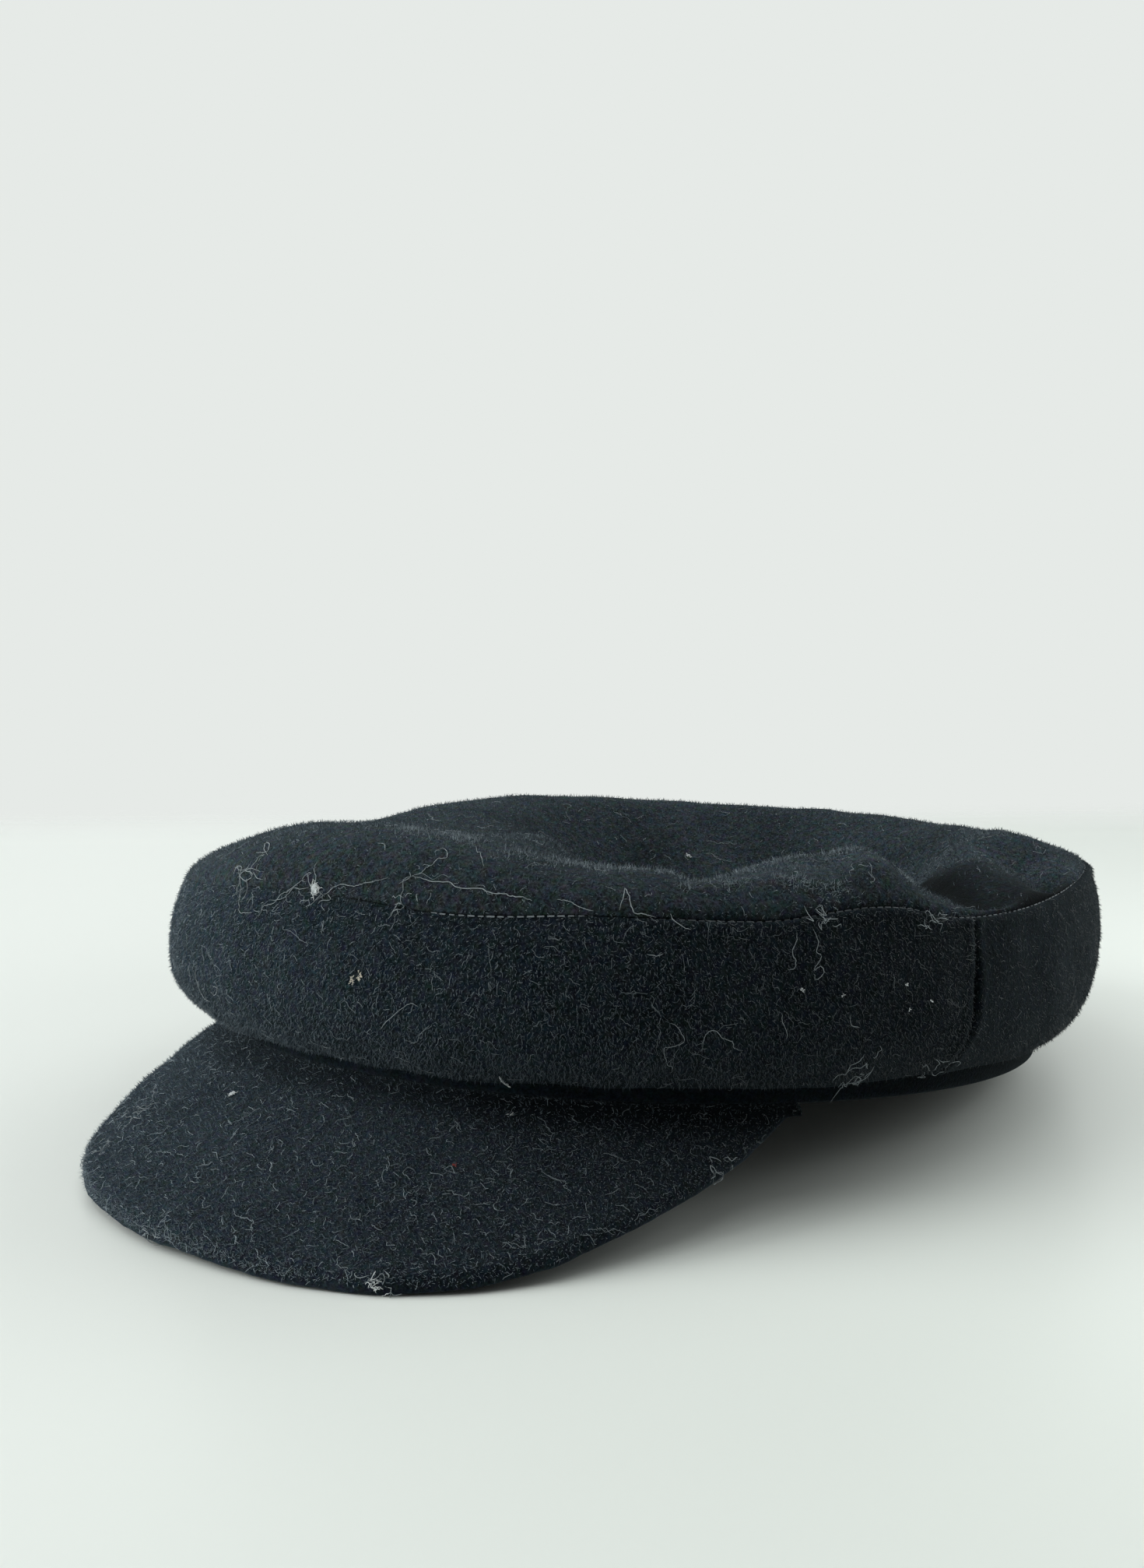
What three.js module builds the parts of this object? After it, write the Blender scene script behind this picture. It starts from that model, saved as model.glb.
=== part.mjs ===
// A soft peaked cap of milled wool cloth: a puffed and dented top panel, two side panels, a headband
// and a cloth-covered peak. It lies on a table, on the peak's edge and the back of the headband.
// Millimetres. In the cap's own frame +X is the wearer's left, -Y the front and +Z up, and the
// headband's lower edge lies in the plane z = 0. Angles are in degrees round the head, from the front
// towards the wearer's left.
import * as THREE from 'three';
import { mergeVertices } from 'three/addons/utils/BufferGeometryUtils.js';

// Driving sizes. A half width is along X, a half length along Y.
const FULL_TURN = 360;
const QUARTER_TURN = 90;
const GAP = 0.3; // clearance between neighbouring pieces
const CLOTH = 2.2; // wall of the crown, cloth and backing together
const HEADBAND = { halfWidth: 86, halfLength: 101, flare: 1, height: 9, wall: 3 };
const HEM = { halfWidth: 89.6, halfLength: 103.4, tuck: 0.8 }; // rolled lower edge of the side
const BULGE = { halfWidth: 98.3, halfLength: 116.2, share: 0.55 }; // widest line, from hem to seam
const SEAM = { halfWidth: 96.6, halfLength: 109.6, centreY: -2.5 }; // line where side and top meet
const BOWL = { x: 22, y: 15.5, floor: 25, early: 0.15 }; // sunk middle of the top panel
const FOLD_FADE = 0.12; // share of the top, from the seam in, over which its folds die out
const BULGE_ABOVE = 2; // power of the side's curve from the bulge up to the seam
const BULGE_BELOW = 2.8; // power of the side's curve from the bulge down to the hem
const SIDE_SEAM = 76; // angle of the upright seams between the side panels
const PEAK = { halfAngle: 57.5, slope: 31, endSlope: 38, thickness: 3, ledge: 2.8, round: 0.3, tip: 1.5 };

// Fineness of the faceted surfaces.
const STATIONS = 80; // round the whole cap
const RIM_STEPS = 5; // seam to crest
const BOWL_STEPS = 10; // crest to the bowl's middle
const SIDE_STEPS = 9; // seam to hem
const BAND_STEPS = 2;
const PEAK_STATIONS = 36; // from end to end of the peak
const PEAK_STEPS = 7; // root to edge
const NUDGE = 0.001; // step of the finite differences that give a surface's normal
const SLIVER = 1e-9; // area under which a triangle is dropped

// The crown round the head. seam: height of the seam between side and top. crest: height of the
// puffed rim. crestAt: place of the crest, as a share of the way from the bowl's middle to the seam.
// bowlFrom, bowlTo: where the drop into the bowl starts and ends, as shares of the way from the crest
// to the bowl's middle. hem: height of the side's lower edge.
const CROWN = [
  { angle: -180, seam: 41.5, crest: 47.0, crestAt: 0.86, bowlFrom: 0.0, bowlTo: 0.55, hem: 4.5 },
  { angle: -150, seam: 40.8, crest: 46.3, crestAt: 0.86, bowlFrom: 0.0, bowlTo: 0.5, hem: 4.5 },
  { angle: -125, seam: 39.0, crest: 46.0, crestAt: 0.86, bowlFrom: 0.0, bowlTo: 0.45, hem: 4.5 },
  { angle: -108, seam: 36.8, crest: 44.3, crestAt: 0.86, bowlFrom: 0.05, bowlTo: 0.55, hem: 4.4 },
  { angle: -90, seam: 34.0, crest: 39.2, crestAt: 0.83, bowlFrom: 0.28, bowlTo: 0.69, hem: 3.4 },
  { angle: -70, seam: 31.0, crest: 38.9, crestAt: 0.75, bowlFrom: 0.34, bowlTo: 0.66, hem: 2.5 },
  { angle: -45, seam: 30.3, crest: 42.3, crestAt: 0.72, bowlFrom: 0.36, bowlTo: 0.67, hem: 1.7 },
  { angle: -25, seam: 32.0, crest: 45.1, crestAt: 0.8, bowlFrom: 0.41, bowlTo: 0.7, hem: 2.0 },
  { angle: -8, seam: 34.5, crest: 47.0, crestAt: 0.86, bowlFrom: 0.4, bowlTo: 0.7, hem: 2.7 },
  { angle: 5, seam: 35.0, crest: 47.4, crestAt: 0.86, bowlFrom: 0.25, bowlTo: 0.65, hem: 2.8 },
  { angle: 13, seam: 34.3, crest: 46.5, crestAt: 0.86, bowlFrom: 0.12, bowlTo: 0.6, hem: 2.6 },
  { angle: 21, seam: 34.7, crest: 44.4, crestAt: 0.86, bowlFrom: 0.04, bowlTo: 0.55, hem: 2.7 },
  { angle: 30, seam: 36.0, crest: 43.6, crestAt: 0.86, bowlFrom: 0.0, bowlTo: 0.5, hem: 3.5 },
  { angle: 36, seam: 36.2, crest: 43.5, crestAt: 0.86, bowlFrom: 0.0, bowlTo: 0.5, hem: 3.8 },
  { angle: 40, seam: 36.2, crest: 42.4, crestAt: 0.84, bowlFrom: 0.0, bowlTo: 0.5, hem: 3.9 },
  { angle: 45, seam: 36.2, crest: 44.6, crestAt: 0.8, bowlFrom: 0.0, bowlTo: 0.5, hem: 4.0 },
  { angle: 51, seam: 36.6, crest: 46.3, crestAt: 0.78, bowlFrom: 0.0, bowlTo: 0.5, hem: 4.0 },
  { angle: 57, seam: 38.2, crest: 47.3, crestAt: 0.78, bowlFrom: 0.0, bowlTo: 0.5, hem: 4.0 },
  { angle: 62, seam: 39.3, crest: 48.2, crestAt: 0.8, bowlFrom: 0.0, bowlTo: 0.5, hem: 4.4 },
  { angle: 67, seam: 39.0, crest: 45.2, crestAt: 0.8, bowlFrom: 0.0, bowlTo: 0.45, hem: 4.7 },
  { angle: 71, seam: 37.6, crest: 42.0, crestAt: 0.81, bowlFrom: 0.0, bowlTo: 0.45, hem: 4.8 },
  { angle: 75, seam: 37.0, crest: 41.4, crestAt: 0.82, bowlFrom: 0.0, bowlTo: 0.5, hem: 4.9 },
  { angle: 80, seam: 37.2, crest: 42.0, crestAt: 0.8, bowlFrom: 0.0, bowlTo: 0.6, hem: 5.0 },
  { angle: 86, seam: 37.9, crest: 43.0, crestAt: 0.77, bowlFrom: 0.0, bowlTo: 0.7, hem: 5.0 },
  { angle: 95, seam: 39.8, crest: 44.9, crestAt: 0.74, bowlFrom: 0.0, bowlTo: 0.7, hem: 5.0 },
  { angle: 103, seam: 41.7, crest: 46.3, crestAt: 0.72, bowlFrom: 0.0, bowlTo: 0.65, hem: 4.9 },
  { angle: 112, seam: 43.3, crest: 47.2, crestAt: 0.72, bowlFrom: 0.0, bowlTo: 0.65, hem: 4.8 },
  { angle: 130, seam: 43.5, crest: 47.3, crestAt: 0.74, bowlFrom: 0.0, bowlTo: 0.57, hem: 4.5 },
  { angle: 155, seam: 42.5, crest: 46.7, crestAt: 0.82, bowlFrom: 0.0, bowlTo: 0.53, hem: 4.5 },
];

// Folds of the top panel, each a soft ridge or a furrow (negative height) along a line in plan.
const FOLDS = [
  { name: 'front left hollow', fromX: -50, fromY: -32, toX: 0, toY: -72, height: -3, width: 8 },
  { name: 'valley at the side seam', fromX: 82, fromY: -8, toX: 56, toY: 4, height: -3, width: 7 },
  { name: 'mound behind the valley', fromX: 54, fromY: 34, toX: 36, toY: 50, height: 4.5, width: 9 },
  { name: 'pit at the side seam', fromX: 82, fromY: 18, toX: 72, toY: 26, height: -2.5, width: 6 },
];

// The peak's outline: how far it reaches out from the headband, down its slope.
const PEAK_OUTLINE = [
  { angle: -57.5, reach: 0 },
  { angle: -48, reach: 7.6 },
  { angle: -41, reach: 16.6 },
  { angle: -34, reach: 26.2 },
  { angle: -27, reach: 36.7 },
  { angle: -20, reach: 42.8 },
  { angle: -10, reach: 46.9 },
  { angle: 0, reach: 48.5 },
  { angle: 10, reach: 49.4 },
  { angle: 18, reach: 47.4 },
  { angle: 27, reach: 40.0 },
  { angle: 34, reach: 30.0 },
  { angle: 41, reach: 20.2 },
  { angle: 48, reach: 10.6 },
  { angle: 57.5, reach: 0 },
];

const { clamp, degToRad, lerp } = THREE.MathUtils;

// Goes from 0 to 1 with a flat start and end.
function ease(share) {
  return (1 - Math.cos(Math.PI * clamp(share, 0, 1))) / 2;
}

// Reads a table at any angle, on a smooth curve through its rows that closes round the head.
function readRound(table, angle) {
  const turned = angle - FULL_TURN * Math.floor((angle - table[0].angle) / FULL_TURN);
  const rowAt = (index) => {
    const turns = Math.floor(index / table.length);
    const row = table[index - turns * table.length];
    return { ...row, angle: row.angle + turns * FULL_TURN };
  };
  const start = table.findLastIndex((row) => row.angle <= turned);
  const [before, from, to, after] = [-1, 0, 1, 2].map((step) => rowAt(start + step));
  const span = to.angle - from.angle;
  const share = (turned - from.angle) / span;
  const slope = (a, b, column) => (b[column] - a[column]) / (b.angle - a.angle);
  const values = {};
  for (const column of Object.keys(from)) {
    const middle = slope(from, to, column);
    const leave = ((slope(before, from, column) + middle) / 2) * span;
    const arrive = ((middle + slope(to, after, column)) / 2) * span;
    const change = to[column] - from[column];
    const square = share * share;
    const cube = square * share;
    values[column] = from[column] + leave * share
      + (3 * change - 2 * leave - arrive) * square + (leave + arrive - 2 * change) * cube;
  }
  return values;
}

// A point of an ellipse round the head.
function onEllipse({ halfWidth, halfLength, centreY = 0 }, angle, z) {
  const turn = degToRad(angle);
  return new THREE.Vector3(halfWidth * Math.sin(turn), centreY - halfLength * Math.cos(turn), z);
}

// The level direction straight out of the headband.
function outOfBand(angle) {
  const turn = degToRad(angle);
  const { halfWidth, halfLength } = HEADBAND;
  return new THREE.Vector3(Math.sin(turn) / halfWidth, -Math.cos(turn) / halfLength, 0).normalize();
}

// The headband's outer face, pushed out by a distance.
function onBand(angle, z, distance = 0) {
  const widened = (HEADBAND.flare * z) / HEADBAND.height + distance;
  return onEllipse(HEADBAND, angle, z).addScaledVector(outOfBand(angle), widened);
}

// Height that the folds add to the top panel at a place in plan.
function foldHeight(x, y) {
  let height = 0;
  for (const fold of FOLDS) {
    const line = new THREE.Line3(
      new THREE.Vector3(fold.fromX, fold.fromY, 0),
      new THREE.Vector3(fold.toX, fold.toY, 0),
    );
    const place = new THREE.Vector3(x, y, 0);
    const away = line.closestPointToPoint(place, true, new THREE.Vector3()).distanceTo(place);
    height += fold.height * Math.exp(-((away / fold.width) ** 2) / 2);
  }
  return height;
}

// Outer face of the top panel. reach is 0 at the bowl's middle and 1 at the seam.
function topPoint(angle, reach) {
  const row = readRound(CROWN, angle);
  const seamHeight = row.seam + GAP / 2;
  const middle = new THREE.Vector3(BOWL.x, BOWL.y, 0);
  const point = middle.lerp(onEllipse(SEAM, angle, 0), reach);
  if (reach > row.crestAt) {
    const toCrest = (1 - reach) / (1 - row.crestAt);
    point.z = lerp(seamHeight, row.crest, Math.sqrt(1 - (1 - toCrest) ** 2));
  } else {
    const toMiddle = (row.crestAt - reach) / row.crestAt;
    const early = ease(toMiddle / row.bowlTo);
    const late = ease((toMiddle - row.bowlFrom) / (row.bowlTo - row.bowlFrom));
    point.z = lerp(row.crest, BOWL.floor, lerp(late, early, BOWL.early));
  }
  point.z += foldHeight(point.x, point.y) * ease((1 - reach) / FOLD_FADE);
  return point;
}

// Outer face of the side. drop is 0 at the seam and 1 at the hem.
function sidePoint(angle, drop) {
  const row = readRound(CROWN, angle);
  const top = row.seam - GAP / 2;
  const z = lerp(top, row.hem, drop);
  const widest = lerp(row.hem, top, BULGE.share);
  const bulge = onEllipse(BULGE, angle, z);
  if (z > widest) {
    const up = (z - widest) / (top - widest);
    return bulge.lerp(onEllipse(SEAM, angle, z), up ** BULGE_ABOVE);
  }
  const down = (widest - z) / (widest - row.hem);
  return bulge.lerp(onEllipse(HEM, angle, z), down ** BULGE_BELOW);
}

// Moves a point of a surface inwards, square to it, by a wall's thickness.
function inward(surface, angle, share, wall) {
  const along = surface(angle + NUDGE, share).sub(surface(angle - NUDGE, share));
  const outer = surface(angle, Math.min(share + NUDGE, 1));
  const across = surface(angle, Math.max(share - NUDGE, 0)).sub(outer);
  return surface(angle, share).addScaledVector(along.cross(across).normalize(), -wall);
}

// Equal shares from 0 to 1.
function shares(steps) {
  return Array.from({ length: steps + 1 }, (_, index) => index / steps);
}

// Equally spaced angles, the ends included.
function angles(from, to, steps) {
  return shares(steps).map((share) => lerp(from, to, share));
}

// Builds one closed body from cross-sections, each an outer and an inner path of as many points.
// A ring's last section joins its first, and any other body is closed at both ends.
function shell(name, colour, sections, ring = false) {
  const corners = [];
  const triangle = (a, b, c) => {
    if (new THREE.Triangle(a, b, c).getArea() > SLIVER) corners.push(a, b, c);
  };
  const quad = (a, b, c, d) => {
    triangle(a, b, c);
    triangle(a, c, d);
  };
  const loops = sections.map(({ outer, inner }) => [...outer, ...inner.toReversed()]);
  loops.slice(ring ? 0 : 1).forEach((next, index) => {
    const here = loops.at(ring ? index - 1 : index);
    next.forEach((point, k) => {
      const after = (k + 1) % next.length;
      quad(here[k], point, next[after], here[after]);
    });
  });
  if (!ring) {
    const first = sections[0];
    const last = sections.at(-1);
    for (let k = 0; k + 1 < first.outer.length; k += 1) {
      quad(first.outer[k], first.outer[k + 1], first.inner[k + 1], first.inner[k]);
      quad(last.inner[k], last.inner[k + 1], last.outer[k + 1], last.outer[k]);
    }
  }
  let volume = 0;
  for (let k = 0; k < corners.length; k += 3) {
    volume += corners[k].dot(new THREE.Vector3().crossVectors(corners[k + 1], corners[k + 2]));
  }
  if (volume < 0) corners.reverse();
  const geometry = mergeVertices(new THREE.BufferGeometry().setFromPoints(corners));
  geometry.computeVertexNormals();
  const material = new THREE.MeshStandardMaterial({ color: colour, roughness: 0.95, metalness: 0 });
  const mesh = new THREE.Mesh(geometry, material);
  mesh.name = name;
  return mesh;
}

// The top panel, from the seam over the puffed rim to the bowl's middle.
function crownTip() {
  const sections = angles(0, FULL_TURN, STATIONS).slice(1).map((angle) => {
    const { crestAt } = readRound(CROWN, angle);
    const rim = shares(RIM_STEPS).map((share) => {
      const toCrest = 1 - Math.cos(degToRad(QUARTER_TURN * share));
      return lerp(1, crestAt, toCrest);
    });
    const bowl = shares(BOWL_STEPS).slice(1, -1).map((share) => lerp(crestAt, 0, share));
    const middle = topPoint(0, 0);
    const outer = [...rim, ...bowl].map((reach) => topPoint(angle, reach));
    const inner = [...rim, ...bowl].map((reach) => inward(topPoint, angle, reach, CLOTH));
    outer.push(middle);
    inner.push(middle.clone().setZ(middle.z - CLOTH));
    return { outer, inner };
  });
  return shell('crown_tip', '#22292d', sections, true);
}

// One side panel, from the seam over the bulge to the hem, which is tucked in against the headband.
function sidePanel(name, from, to) {
  const steps = Math.round((STATIONS * (to - from)) / FULL_TURN);
  const sections = angles(from, to, steps).map((angle) => {
    const drops = shares(SIDE_STEPS);
    const tuckHeight = readRound(CROWN, angle).hem + HEM.tuck;
    const outer = drops.map((drop) => sidePoint(angle, drop));
    const inner = drops.map((drop) => inward(sidePoint, angle, drop, CLOTH));
    outer.push(onBand(angle, tuckHeight, GAP));
    inner.push(onBand(angle, tuckHeight + CLOTH, GAP));
    return { outer, inner };
  });
  return shell(name, '#1e2428', sections);
}

// The upright band round the head.
function headband() {
  const sections = angles(0, FULL_TURN, STATIONS).slice(1).map((angle) => {
    const heights = shares(BAND_STEPS).map((share) => share * HEADBAND.height);
    return {
      outer: heights.map((z) => onBand(angle, z)),
      inner: heights.map((z) => onBand(angle, z, -HEADBAND.wall)),
    };
  });
  return shell('headband', '#1b2024', sections, true);
}

// The peak: a ledge under the headband's lower edge, then a slope out and down to a rounded edge.
function peak() {
  const { halfAngle, slope, endSlope, thickness, ledge, round, tip } = PEAK;
  const sections = angles(-halfAngle, halfAngle, PEAK_STATIONS).map((angle) => {
    const fall = degToRad(lerp(slope, endSlope, (angle / halfAngle) ** 2));
    const depth = thickness / Math.cos(fall);
    const reach = Math.max(readRound(PEAK_OUTLINE, angle).reach, tip);
    const at = (out, sunk) => {
      const z = -GAP - out * Math.sin(fall) - sunk * depth;
      return onEllipse(HEADBAND, angle, z).addScaledVector(outOfBand(angle), out * Math.cos(fall));
    };
    const shelf = (sunk) => at(0, sunk).addScaledVector(outOfBand(angle), -ledge);
    const outs = shares(PEAK_STEPS).map((share) => share * (reach - round * thickness));
    const outer = [shelf(0), ...outs.map((out) => at(out, 0)), at(reach, round)];
    const inner = [shelf(1), ...outs.map((out) => at(out, 1)), at(reach, 1 - round)];
    return { outer, inner };
  });
  return shell('peak', '#191e22', sections);
}

// The tilt at which the peak's edge comes down on the table beside the back of the headband.
function restTilt(mesh) {
  const corner = new THREE.Vector3();
  const { position } = mesh.geometry.attributes;
  let tilt = 0;
  for (let index = 0; index < position.count; index += 1) {
    corner.fromBufferAttribute(position, index);
    tilt = Math.max(tilt, Math.atan2(-corner.z, HEADBAND.halfLength - corner.y));
  }
  return tilt;
}

const halfGap = THREE.MathUtils.radToDeg(GAP / 2 / BULGE.halfWidth);
const frontEdge = SIDE_SEAM - halfGap;
const backEdge = SIDE_SEAM + halfGap;
const peakMesh = peak();

const leaning = new THREE.Group();
leaning.add(
  crownTip(),
  sidePanel('side_front', -frontEdge, frontEdge),
  sidePanel('side_back', backEdge, FULL_TURN - backEdge),
  headband(),
  peakMesh,
);
leaning.rotation.x = -restTilt(peakMesh);

const box = new THREE.Box3().setFromObject(leaning, true);
const centre = box.getCenter(new THREE.Vector3());
leaning.position.set(-centre.x, -centre.y, -box.min.z);

const cap = new THREE.Group();
cap.add(leaning);

export default cap;
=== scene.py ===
import math

import bpy
import numpy as np
from mathutils import Matrix, Vector
from mathutils.bvhtree import BVHTree


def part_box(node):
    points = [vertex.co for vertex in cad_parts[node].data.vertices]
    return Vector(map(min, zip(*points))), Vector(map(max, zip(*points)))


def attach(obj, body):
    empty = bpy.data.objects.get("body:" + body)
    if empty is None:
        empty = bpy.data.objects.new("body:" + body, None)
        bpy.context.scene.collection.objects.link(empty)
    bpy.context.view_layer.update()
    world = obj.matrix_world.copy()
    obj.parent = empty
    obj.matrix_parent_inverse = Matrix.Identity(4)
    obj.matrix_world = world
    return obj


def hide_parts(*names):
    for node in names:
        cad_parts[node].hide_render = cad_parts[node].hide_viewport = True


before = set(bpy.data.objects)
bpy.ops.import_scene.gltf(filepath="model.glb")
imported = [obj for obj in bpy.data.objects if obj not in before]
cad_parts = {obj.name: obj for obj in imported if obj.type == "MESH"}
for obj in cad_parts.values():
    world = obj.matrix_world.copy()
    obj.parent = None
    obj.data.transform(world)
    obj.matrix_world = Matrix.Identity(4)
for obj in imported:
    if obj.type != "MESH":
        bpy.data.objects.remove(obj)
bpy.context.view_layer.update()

# Sizes are in millimetres and angles in degrees unless a note says otherwise.
# The cap's own frame has +X to the wearer's left, -Y to the front and z = 0 along the headband's lower edge.
millimetre = 0.001
fullTurn = 360
upward = (0, 0, 1)
tiny = 1e-12  # keeps a length off zero before it divides


def asLinear(hexColour):
    parts = [int(hexColour[at:at + 2], 16) / 255 for at in (1, 3, 5)]
    linear = [part / 12.92 if part <= 0.04045 else ((part + 0.055) / 1.055) ** 2.4 for part in parts]
    return (*linear, 1.0)


def addNode(tree, kind, settings=None, links=None):
    # settings holds values by socket name, or by property name where it starts with a dot
    node = tree.nodes.new(kind)
    for name, value in (settings or {}).items():
        if str(name).startswith("."):
            setattr(node, name[1:], value)
        else:
            node.inputs[name].default_value = value
    # a link comes from a socket, or from a node's first output that is in use
    for name, source in (links or {}).items():
        if isinstance(source, bpy.types.Node):
            source = next(socket for socket in source.outputs if not socket.is_unavailable)
        tree.links.new(source, node.inputs[name])
    return node


print("camera")

photograph = {"width": 1470, "height": 2014}
cameraPlace = {"location": (272.05, -392.87, 142.03), "azimuth": 35.642, "elevation": 8.627, "roll": -0.432}
cameraLens = {"focalLength": 50, "filmHeight": 36, "clipStart": 10}

# Directions along the table, to the camera's right and away from it.
azimuth = math.radians(cameraPlace["azimuth"])
sideways = Vector((math.cos(azimuth), math.sin(azimuth), 0))
onward = Vector((-math.sin(azimuth), math.cos(azimuth), 0))


def makeCamera():
    elevation = math.radians(cameraPlace["elevation"])
    roll = math.radians(cameraPlace["roll"])
    back = Vector((
        math.sin(azimuth) * math.cos(elevation),
        -math.cos(azimuth) * math.cos(elevation),
        math.sin(elevation),
    ))
    right = sideways.copy()
    right.rotate(Matrix.Rotation(roll, 3, back))
    up = back.cross(right)
    data = bpy.data.cameras.new("camera")
    data.sensor_fit = "VERTICAL"
    data.sensor_height = cameraLens["filmHeight"]
    data.sensor_width = cameraLens["filmHeight"]
    data.lens = cameraLens["focalLength"]
    data.clip_start = cameraLens["clipStart"] * millimetre
    camera = bpy.data.objects.new("camera", data)
    turn = Matrix((right, up, back)).transposed().to_4x4()
    camera.matrix_world = Matrix.Translation(Vector(cameraPlace["location"]) * millimetre) @ turn
    bpy.context.scene.collection.objects.link(camera)
    bpy.context.scene.camera = camera
    return turn.to_3x3()


cameraTurn = makeCamera()


def rayThrough(across, down):
    # direction from the camera through a pixel of the photograph
    focalPixels = cameraLens["focalLength"] / cameraLens["filmHeight"] * photograph["height"]
    x = (across - photograph["width"] / 2) / focalPixels
    y = -(down - photograph["height"] / 2) / focalPixels
    return (cameraTurn @ Vector((x, y, -1))).normalized()


print("table and light")

# Pale matt table top that fades into the pale wall behind it.
stage = {
    "halfSize": 1500, "fadeFrom": 320, "fadeTo": 400, "sideFadeFrom": 1000, "sideFadeTo": 1400,
    "tableLeft": "#edf0ed", "tableRight": "#d9ddd9", "leftAt": -190, "rightAt": 70,
    "wallColour": "#e6eae7", "roughness": 0.35, "shine": 0.2,
}
# Bearings of the lights run from the camera's right, turning away from the camera.
lights = {
    "skyStrength": 0.12,
    "suns": {
        "ceiling": {"bearing": 0, "height": 90, "softness": 50, "strength": 0.72},
        "window": {"bearing": 180, "height": 50, "softness": 50, "strength": 1.0},
        "low window": {"bearing": 180, "height": 14, "softness": 50, "strength": 3.15},
        "rear window": {"bearing": 40, "height": 45, "softness": 45, "strength": 0.78},
    },
    "reflector": {
        "right": 330, "away": 10, "height": 160, "size": 220, "power": 0.52, "aimRight": 110, "aimAway": -20,
    },
    "colour": "#f8fcfa",
}


def makeTable():
    half = stage["halfSize"] * millimetre
    mesh = bpy.data.meshes.new("table_top")
    corners = [(x * half, y * half, 0) for x, y in ((-1, -1), (1, -1), (1, 1), (-1, 1))]
    mesh.from_pydata(corners, [], [(0, 1, 2, 3)])
    table = bpy.data.objects.new("table_top", mesh)
    bpy.context.scene.collection.objects.link(table)
    material = bpy.data.materials.new("painted table top")
    material.use_nodes = True
    tree = material.node_tree
    shader = tree.nodes["Principled BSDF"]
    shader.inputs["Roughness"].default_value = stage["roughness"]
    shader.inputs["Specular IOR Level"].default_value = stage["shine"]
    place = addNode(tree, "ShaderNodeTexCoord")
    # painted light: the table is painted a little paler towards the camera's left, where it is lit more
    # brightly
    across = addNode(tree, "ShaderNodeVectorMath", {".operation": "DOT_PRODUCT", 1: sideways}, {
        0: place.outputs["Object"],
    })
    share = addNode(tree, "ShaderNodeMapRange", {
        ".interpolation_type": "SMOOTHSTEP",
        "From Min": stage["leftAt"] * millimetre, "From Max": stage["rightAt"] * millimetre,
    }, {"Value": across})
    paint = addNode(tree, "ShaderNodeMix", {
        ".data_type": "RGBA", 6: asLinear(stage["tableLeft"]), 7: asLinear(stage["tableRight"]),
    }, {0: share})
    tree.links.new(paint.outputs[2], shader.inputs["Base Color"])
    # it fades into the wall far behind the cap and far off on every side
    depth = addNode(tree, "ShaderNodeVectorMath", {".operation": "DOT_PRODUCT", 1: onward}, {
        0: place.outputs["Object"],
    })
    backFade = addNode(tree, "ShaderNodeMapRange", {
        ".interpolation_type": "SMOOTHSTEP",
        "From Min": stage["fadeFrom"] * millimetre, "From Max": stage["fadeTo"] * millimetre,
    }, {"Value": depth})
    away = addNode(tree, "ShaderNodeVectorMath", {".operation": "LENGTH"}, {0: place.outputs["Object"]})
    sideFade = addNode(tree, "ShaderNodeMapRange", {
        ".interpolation_type": "SMOOTHSTEP",
        "From Min": stage["sideFadeFrom"] * millimetre, "From Max": stage["sideFadeTo"] * millimetre,
    }, {"Value": away})
    fade = addNode(tree, "ShaderNodeMath", {".operation": "MAXIMUM"}, {0: backFade, 1: sideFade})
    clear = addNode(tree, "ShaderNodeBsdfTransparent")
    mix = addNode(tree, "ShaderNodeMixShader", {}, {0: fade, 1: shader, 2: clear})
    tree.links.new(mix.outputs["Shader"], tree.nodes["Material Output"].inputs["Surface"])
    mesh.materials.append(material)


def addLamp(name, kind):
    lamp = bpy.data.objects.new(name, bpy.data.lights.new(name, kind))
    lamp.data.color = asLinear(lights["colour"])[:3]
    bpy.context.scene.collection.objects.link(lamp)
    return lamp


def makeLight():
    world = bpy.data.worlds.new("pale room")
    world.use_nodes = True
    tree = world.node_tree
    tree.nodes.clear()
    glow = addNode(tree, "ShaderNodeBackground", {
        "Color": asLinear(stage["wallColour"]), "Strength": lights["skyStrength"],
    })
    wall = addNode(tree, "ShaderNodeBackground", {"Color": asLinear(stage["wallColour"])})
    path = addNode(tree, "ShaderNodeLightPath")
    # the table's sheen mirrors the wall as bright as it is seen
    seen = addNode(tree, "ShaderNodeMath", {".operation": "MAXIMUM"}, {
        0: path.outputs["Is Camera Ray"], 1: path.outputs["Is Glossy Ray"],
    })
    mix = addNode(tree, "ShaderNodeMixShader", {}, {
        0: seen, 1: glow, 2: wall,
    })
    addNode(tree, "ShaderNodeOutputWorld", {}, {"Surface": mix})
    bpy.context.scene.world = world
    for name, look in lights["suns"].items():
        lamp = addLamp(name, "SUN")
        lamp.data.angle = math.radians(look["softness"])
        lamp.data.energy = look["strength"]
        bearing, height = math.radians(look["bearing"]), math.radians(look["height"])
        flat = sideways * math.cos(bearing) + onward * math.sin(bearing)
        towards = flat * math.cos(height) + Vector((0, 0, math.sin(height)))
        lamp.rotation_euler = towards.to_track_quat("Z", "Y").to_euler()
    # a white board to the camera's right lifts the end of the cap's shadow
    board = lights["reflector"]
    lamp = addLamp("reflector", "AREA")
    lamp.data.size = board["size"] * millimetre
    lamp.data.energy = board["power"]
    place = sideways * board["right"] + onward * board["away"] + Vector((0, 0, board["height"]))
    aim = sideways * board["aimRight"] + onward * board["aimAway"]
    lamp.location = place * millimetre
    lamp.rotation_euler = (place - aim).to_track_quat("Z", "Y").to_euler()
    bpy.context.scene.view_settings.view_transform = "Standard"


makeTable()
makeLight()


print("cap's shape")

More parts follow.
